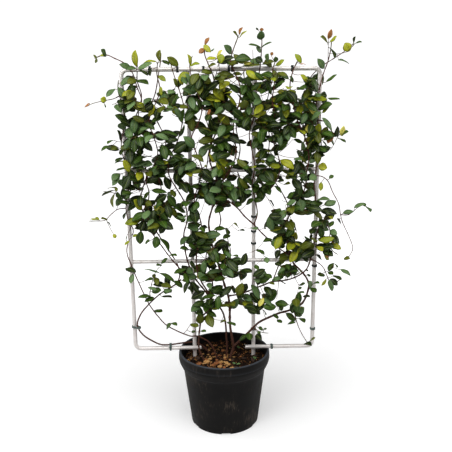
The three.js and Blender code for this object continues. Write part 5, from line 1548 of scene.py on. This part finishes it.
for i, row in enumerate(row for group in placedLeaves.values() for row in group):
    placeLeaf(100.5 + i, *row)


# shares of the tones in each zone, counted up
toneShares = {
    "outer tips": (("B", 0.4), ("W", 0.55), ("Y", 1)),
    "high tips": (("Y", 0.5), ("O", 1)),
    "low tips": (("Y", 0.2), ("O", 1)),
    # painted shade: leaves behind the rack are mostly dark, for the shadow of the leaves in front
    "behind": (("O", 0.08), ("M", 0.3), ("D", 1)),  # in the shade of the others
    "high": (("Y", 0.12), ("O", 0.24), ("G", 0.42), ("M", 0.66), ("D", 1)),
    "low": (("Y", 0.05), ("O", 0.14), ("G", 0.32), ("M", 0.66), ("D", 1)),
}


zoneStarts = {"high": 1000, "top": 1178, "outer": 330, "behind": 8}  # heights, then across and depth


def pickTone(point, seed, nearTip):
    zone = "high" if point[2] > zoneStarts["high"] else "low"
    if nearTip:
        outer = point[2] > zoneStarts["top"] or abs(point[0]) > zoneStarts["outer"]
        zone = "outer tips" if outer else zone + " tips"
    # leaves behind the rack take the painted shade of the behind zone
    elif point[1] > zoneStarts["behind"]:
        zone = "behind"
    return next(tone for tone, share in toneShares[zone] if vary(seed, 12) < share)


potSpace = {"height": 235, "radius": 175}  # no leaf that grows by rule reaches into this space


def tryLeaf(name, start, radius, direction, length, seed, tone, retries=3):
    for attempt in range(retries + 1):
        own = seed + 0.17 * attempt
        stray = np.array([vary(own, 13), vary(own, 14), vary(own, 15)]) - 0.5
        heading = unit(direction + 0.6 * stray * (1 + 0.5 * attempt)) if attempt else direction
        base = start + heading * (radius + leafShape["petiole"])
        tip = base + heading * length
        covered = [base + heading * length * share for share in (0.25, 0.5, 0.75, 1)]
        if not within(covered[1], thickets) or any(inGap(place) for place in covered):
            continue
        # the blade lies open to the sky and to the front
        sunward = np.array([0.5 * (vary(own, 16) - 0.5), -0.65 - 0.5 * vary(own, 17), 0.75])
        normal = squareTo(heading, sunward)
        verts = leafBlade(base, heading, normal, length, length * leafShape["width"], own)
        inPot = tip[2] < potSpace["height"] and math.hypot(*tip[:2]) < potSpace["radius"]
        if inPot or not isClear(verts, leafFaces):
            continue
        points = [start, start + heading * (radius + 2), base + heading * 0.8 - np.array([0, 0, 0.3])]
        addTwig(name, points, [leafShape["petioleRadius"] * 1.1] + [leafShape["petioleRadius"]] * 2, 0.75)
        addLeaf(name, verts, tone, seed)
        return True
    return False


def leafyStem(name):  # opposite pairs up the whole stem
    own = plant[name]
    seed, length, face = own["seed"], own["reach"][-1], own["face"]
    for i, distance in enumerate(own["pairs"]):
        at = int(np.argmin(np.abs(own["reach"] - distance)))
        point, along, radius = own["points"][at], own["tangents"][at], own["radii"][at]
        facing = turned(unit(np.array([0, face, 0.35])), along, 1.6 * (vary(seed, i) - 0.5))
        across = unit(np.cross(along, facing))
        nearTip = 0.55 + 0.45 * min(1, (length - distance) / leafShape["smallerFrom"])
        for hand in (1, -1):
            k = 2 * i + (hand + 1) // 2
            direction = unit(across * 0.85 * hand + along * (0.1 + 0.6 * vary(seed + 0.17, k))
                             + facing * (0.5 * vary(seed + 0.29, k) - 0.15)
                             + np.array([0, 0, 0.1 - 0.55 * vary(seed + 0.41, k)]))
            size = leafShape["length"] * nearTip * (0.85 + 0.3 * vary(seed + 0.53, k))
            tone = pickTone(point, seed * 7 + k, length - distance < leafShape["youngFrom"])
            tryLeaf(name, point, radius, direction, size * 0.95, seed * 31 + k + 0.3, tone)


for stemName in plant:
    leafyStem(stemName)
print("leaf pairs set on the stems")


# Side shoots: the farthest that one starts from its place, its length, its tip and the spacing in a thicket
shoot = {"farthest": 70, "shortest": 25, "longer": 40, "threePairsFrom": 42, "tipRadius": 0.7, "spacing": 26}


def sideShoot(x, z, seed):  # a short shoot with two or three pairs, from the nearest stem towards this place
    (start, radius, name, seen), distance = nearestHold(x, z, frontOnly=vary(seed, 1) < 0.75)
    if distance > shoot["farthest"]:
        return
    reach = shoot["shortest"] + shoot["longer"] * vary(seed, 2)
    outward = np.array([x - seen[0], 0, z - seen[1]])
    forward = (-0.75 if start[1] < 6 else 0.6) * vary(seed, 4)
    stray = np.array([0.5 * (vary(seed, 3) - 0.5), forward, 0.5 * vary(seed, 5) - 0.15])
    heading = unit(unit(outward + 1e-6) * 0.9 + stray)
    end = start + heading * reach
    points = np.array(bent(start, end, 3, 8))
    if not isClear(*sweep(points[2:], [1.2] * 6, 6)):
        return
    twigRadius = min(wood["twigRadius"], radius * 0.8)
    made = 0
    pairs = 2 + int(reach > shoot["threePairsFrom"])
    for i in range(pairs):
        point = points[2 + round(5 * (i + 0.6) / pairs) if i < pairs - 1 else 7]
        turn = 1.57 * i + 0.8 * (vary(seed, 6 + i) - 0.5)
        sideways = turned(unit(np.cross(heading, (0, 0.3, 1))), heading, turn)
        for hand in (1, -1):
            k = 20 + 4 * i + hand
            direction = unit(sideways * hand + heading * (0.35 + 0.5 * vary(seed, k)) - np.array([0, 0, 0.2]))
            size = leafShape["length"] * (0.8 + 0.32 * vary(seed, k + 9)) * (1 - 0.08 * i)
            tone = pickTone(point, seed + k, i == pairs - 1 and vary(seed, 40) < 0.25)
            made += tryLeaf(name, point, twigRadius, direction, size, seed + 0.61 * k, tone, 2)
    if made:
        addTwig(name, points, np.linspace(twigRadius, shoot["tipRadius"], 8), 0.6)


def fillThickets(spacing):
    index = 0
    for x, z, width, height in thickets:
        for _ in range(int(math.pi * width * height / spacing ** 2)):
            index += 1
            angle, share = 2 * math.pi * vary(3.1, index), math.sqrt(vary(4.7, index))
            toX, toZ = x + width * share * math.cos(angle), z + height * share * math.sin(angle)
            sideShoot(toX, toZ, 2000.3 + index)


fillThickets(shoot["spacing"])
print("side shoots grown")


def makeFallenLeaves():  # a few small sprigs of three young leaves
    batch = newBatch()
    for i, (x, y, length) in enumerate(soil["fallen"]):
        for j in range(3):
            seed = 900.5 + 3 * i + j
            angle = 2.2 * j + 6.28 * vary(seed, 0)
            heading = unit(np.array([math.cos(angle), math.sin(angle), 0.25]))
            normal = squareTo(heading, unit(np.array([0.3 * (vary(seed, 1) - 0.5), -0.2, 1])))
            start = np.array([x, y, soilHeight(x, y) + 3.5]) + heading * 2
            size = length * (0.7 + 0.4 * vary(seed, 2))
            verts = leafBlade(start, heading, normal, size, length * 0.5, seed)
            addBlade(batch, verts, "G", seed)
    makePiece("fallen_leaves", batch, [leafMaterial], [])


makeFallenLeaves()

for stemName, own in plant.items():
    makePiece(stemName + "_wood", own["wood"], [woodMaterial], [stemName])
    if own["leaves"]["count"]:
        makePiece(stemName + "_leaves", own["leaves"], [leafMaterial], [stemName])
print("plant finished:", sum(len(own["leaves"]["verts"]) for own in plant.values()), "leaves")
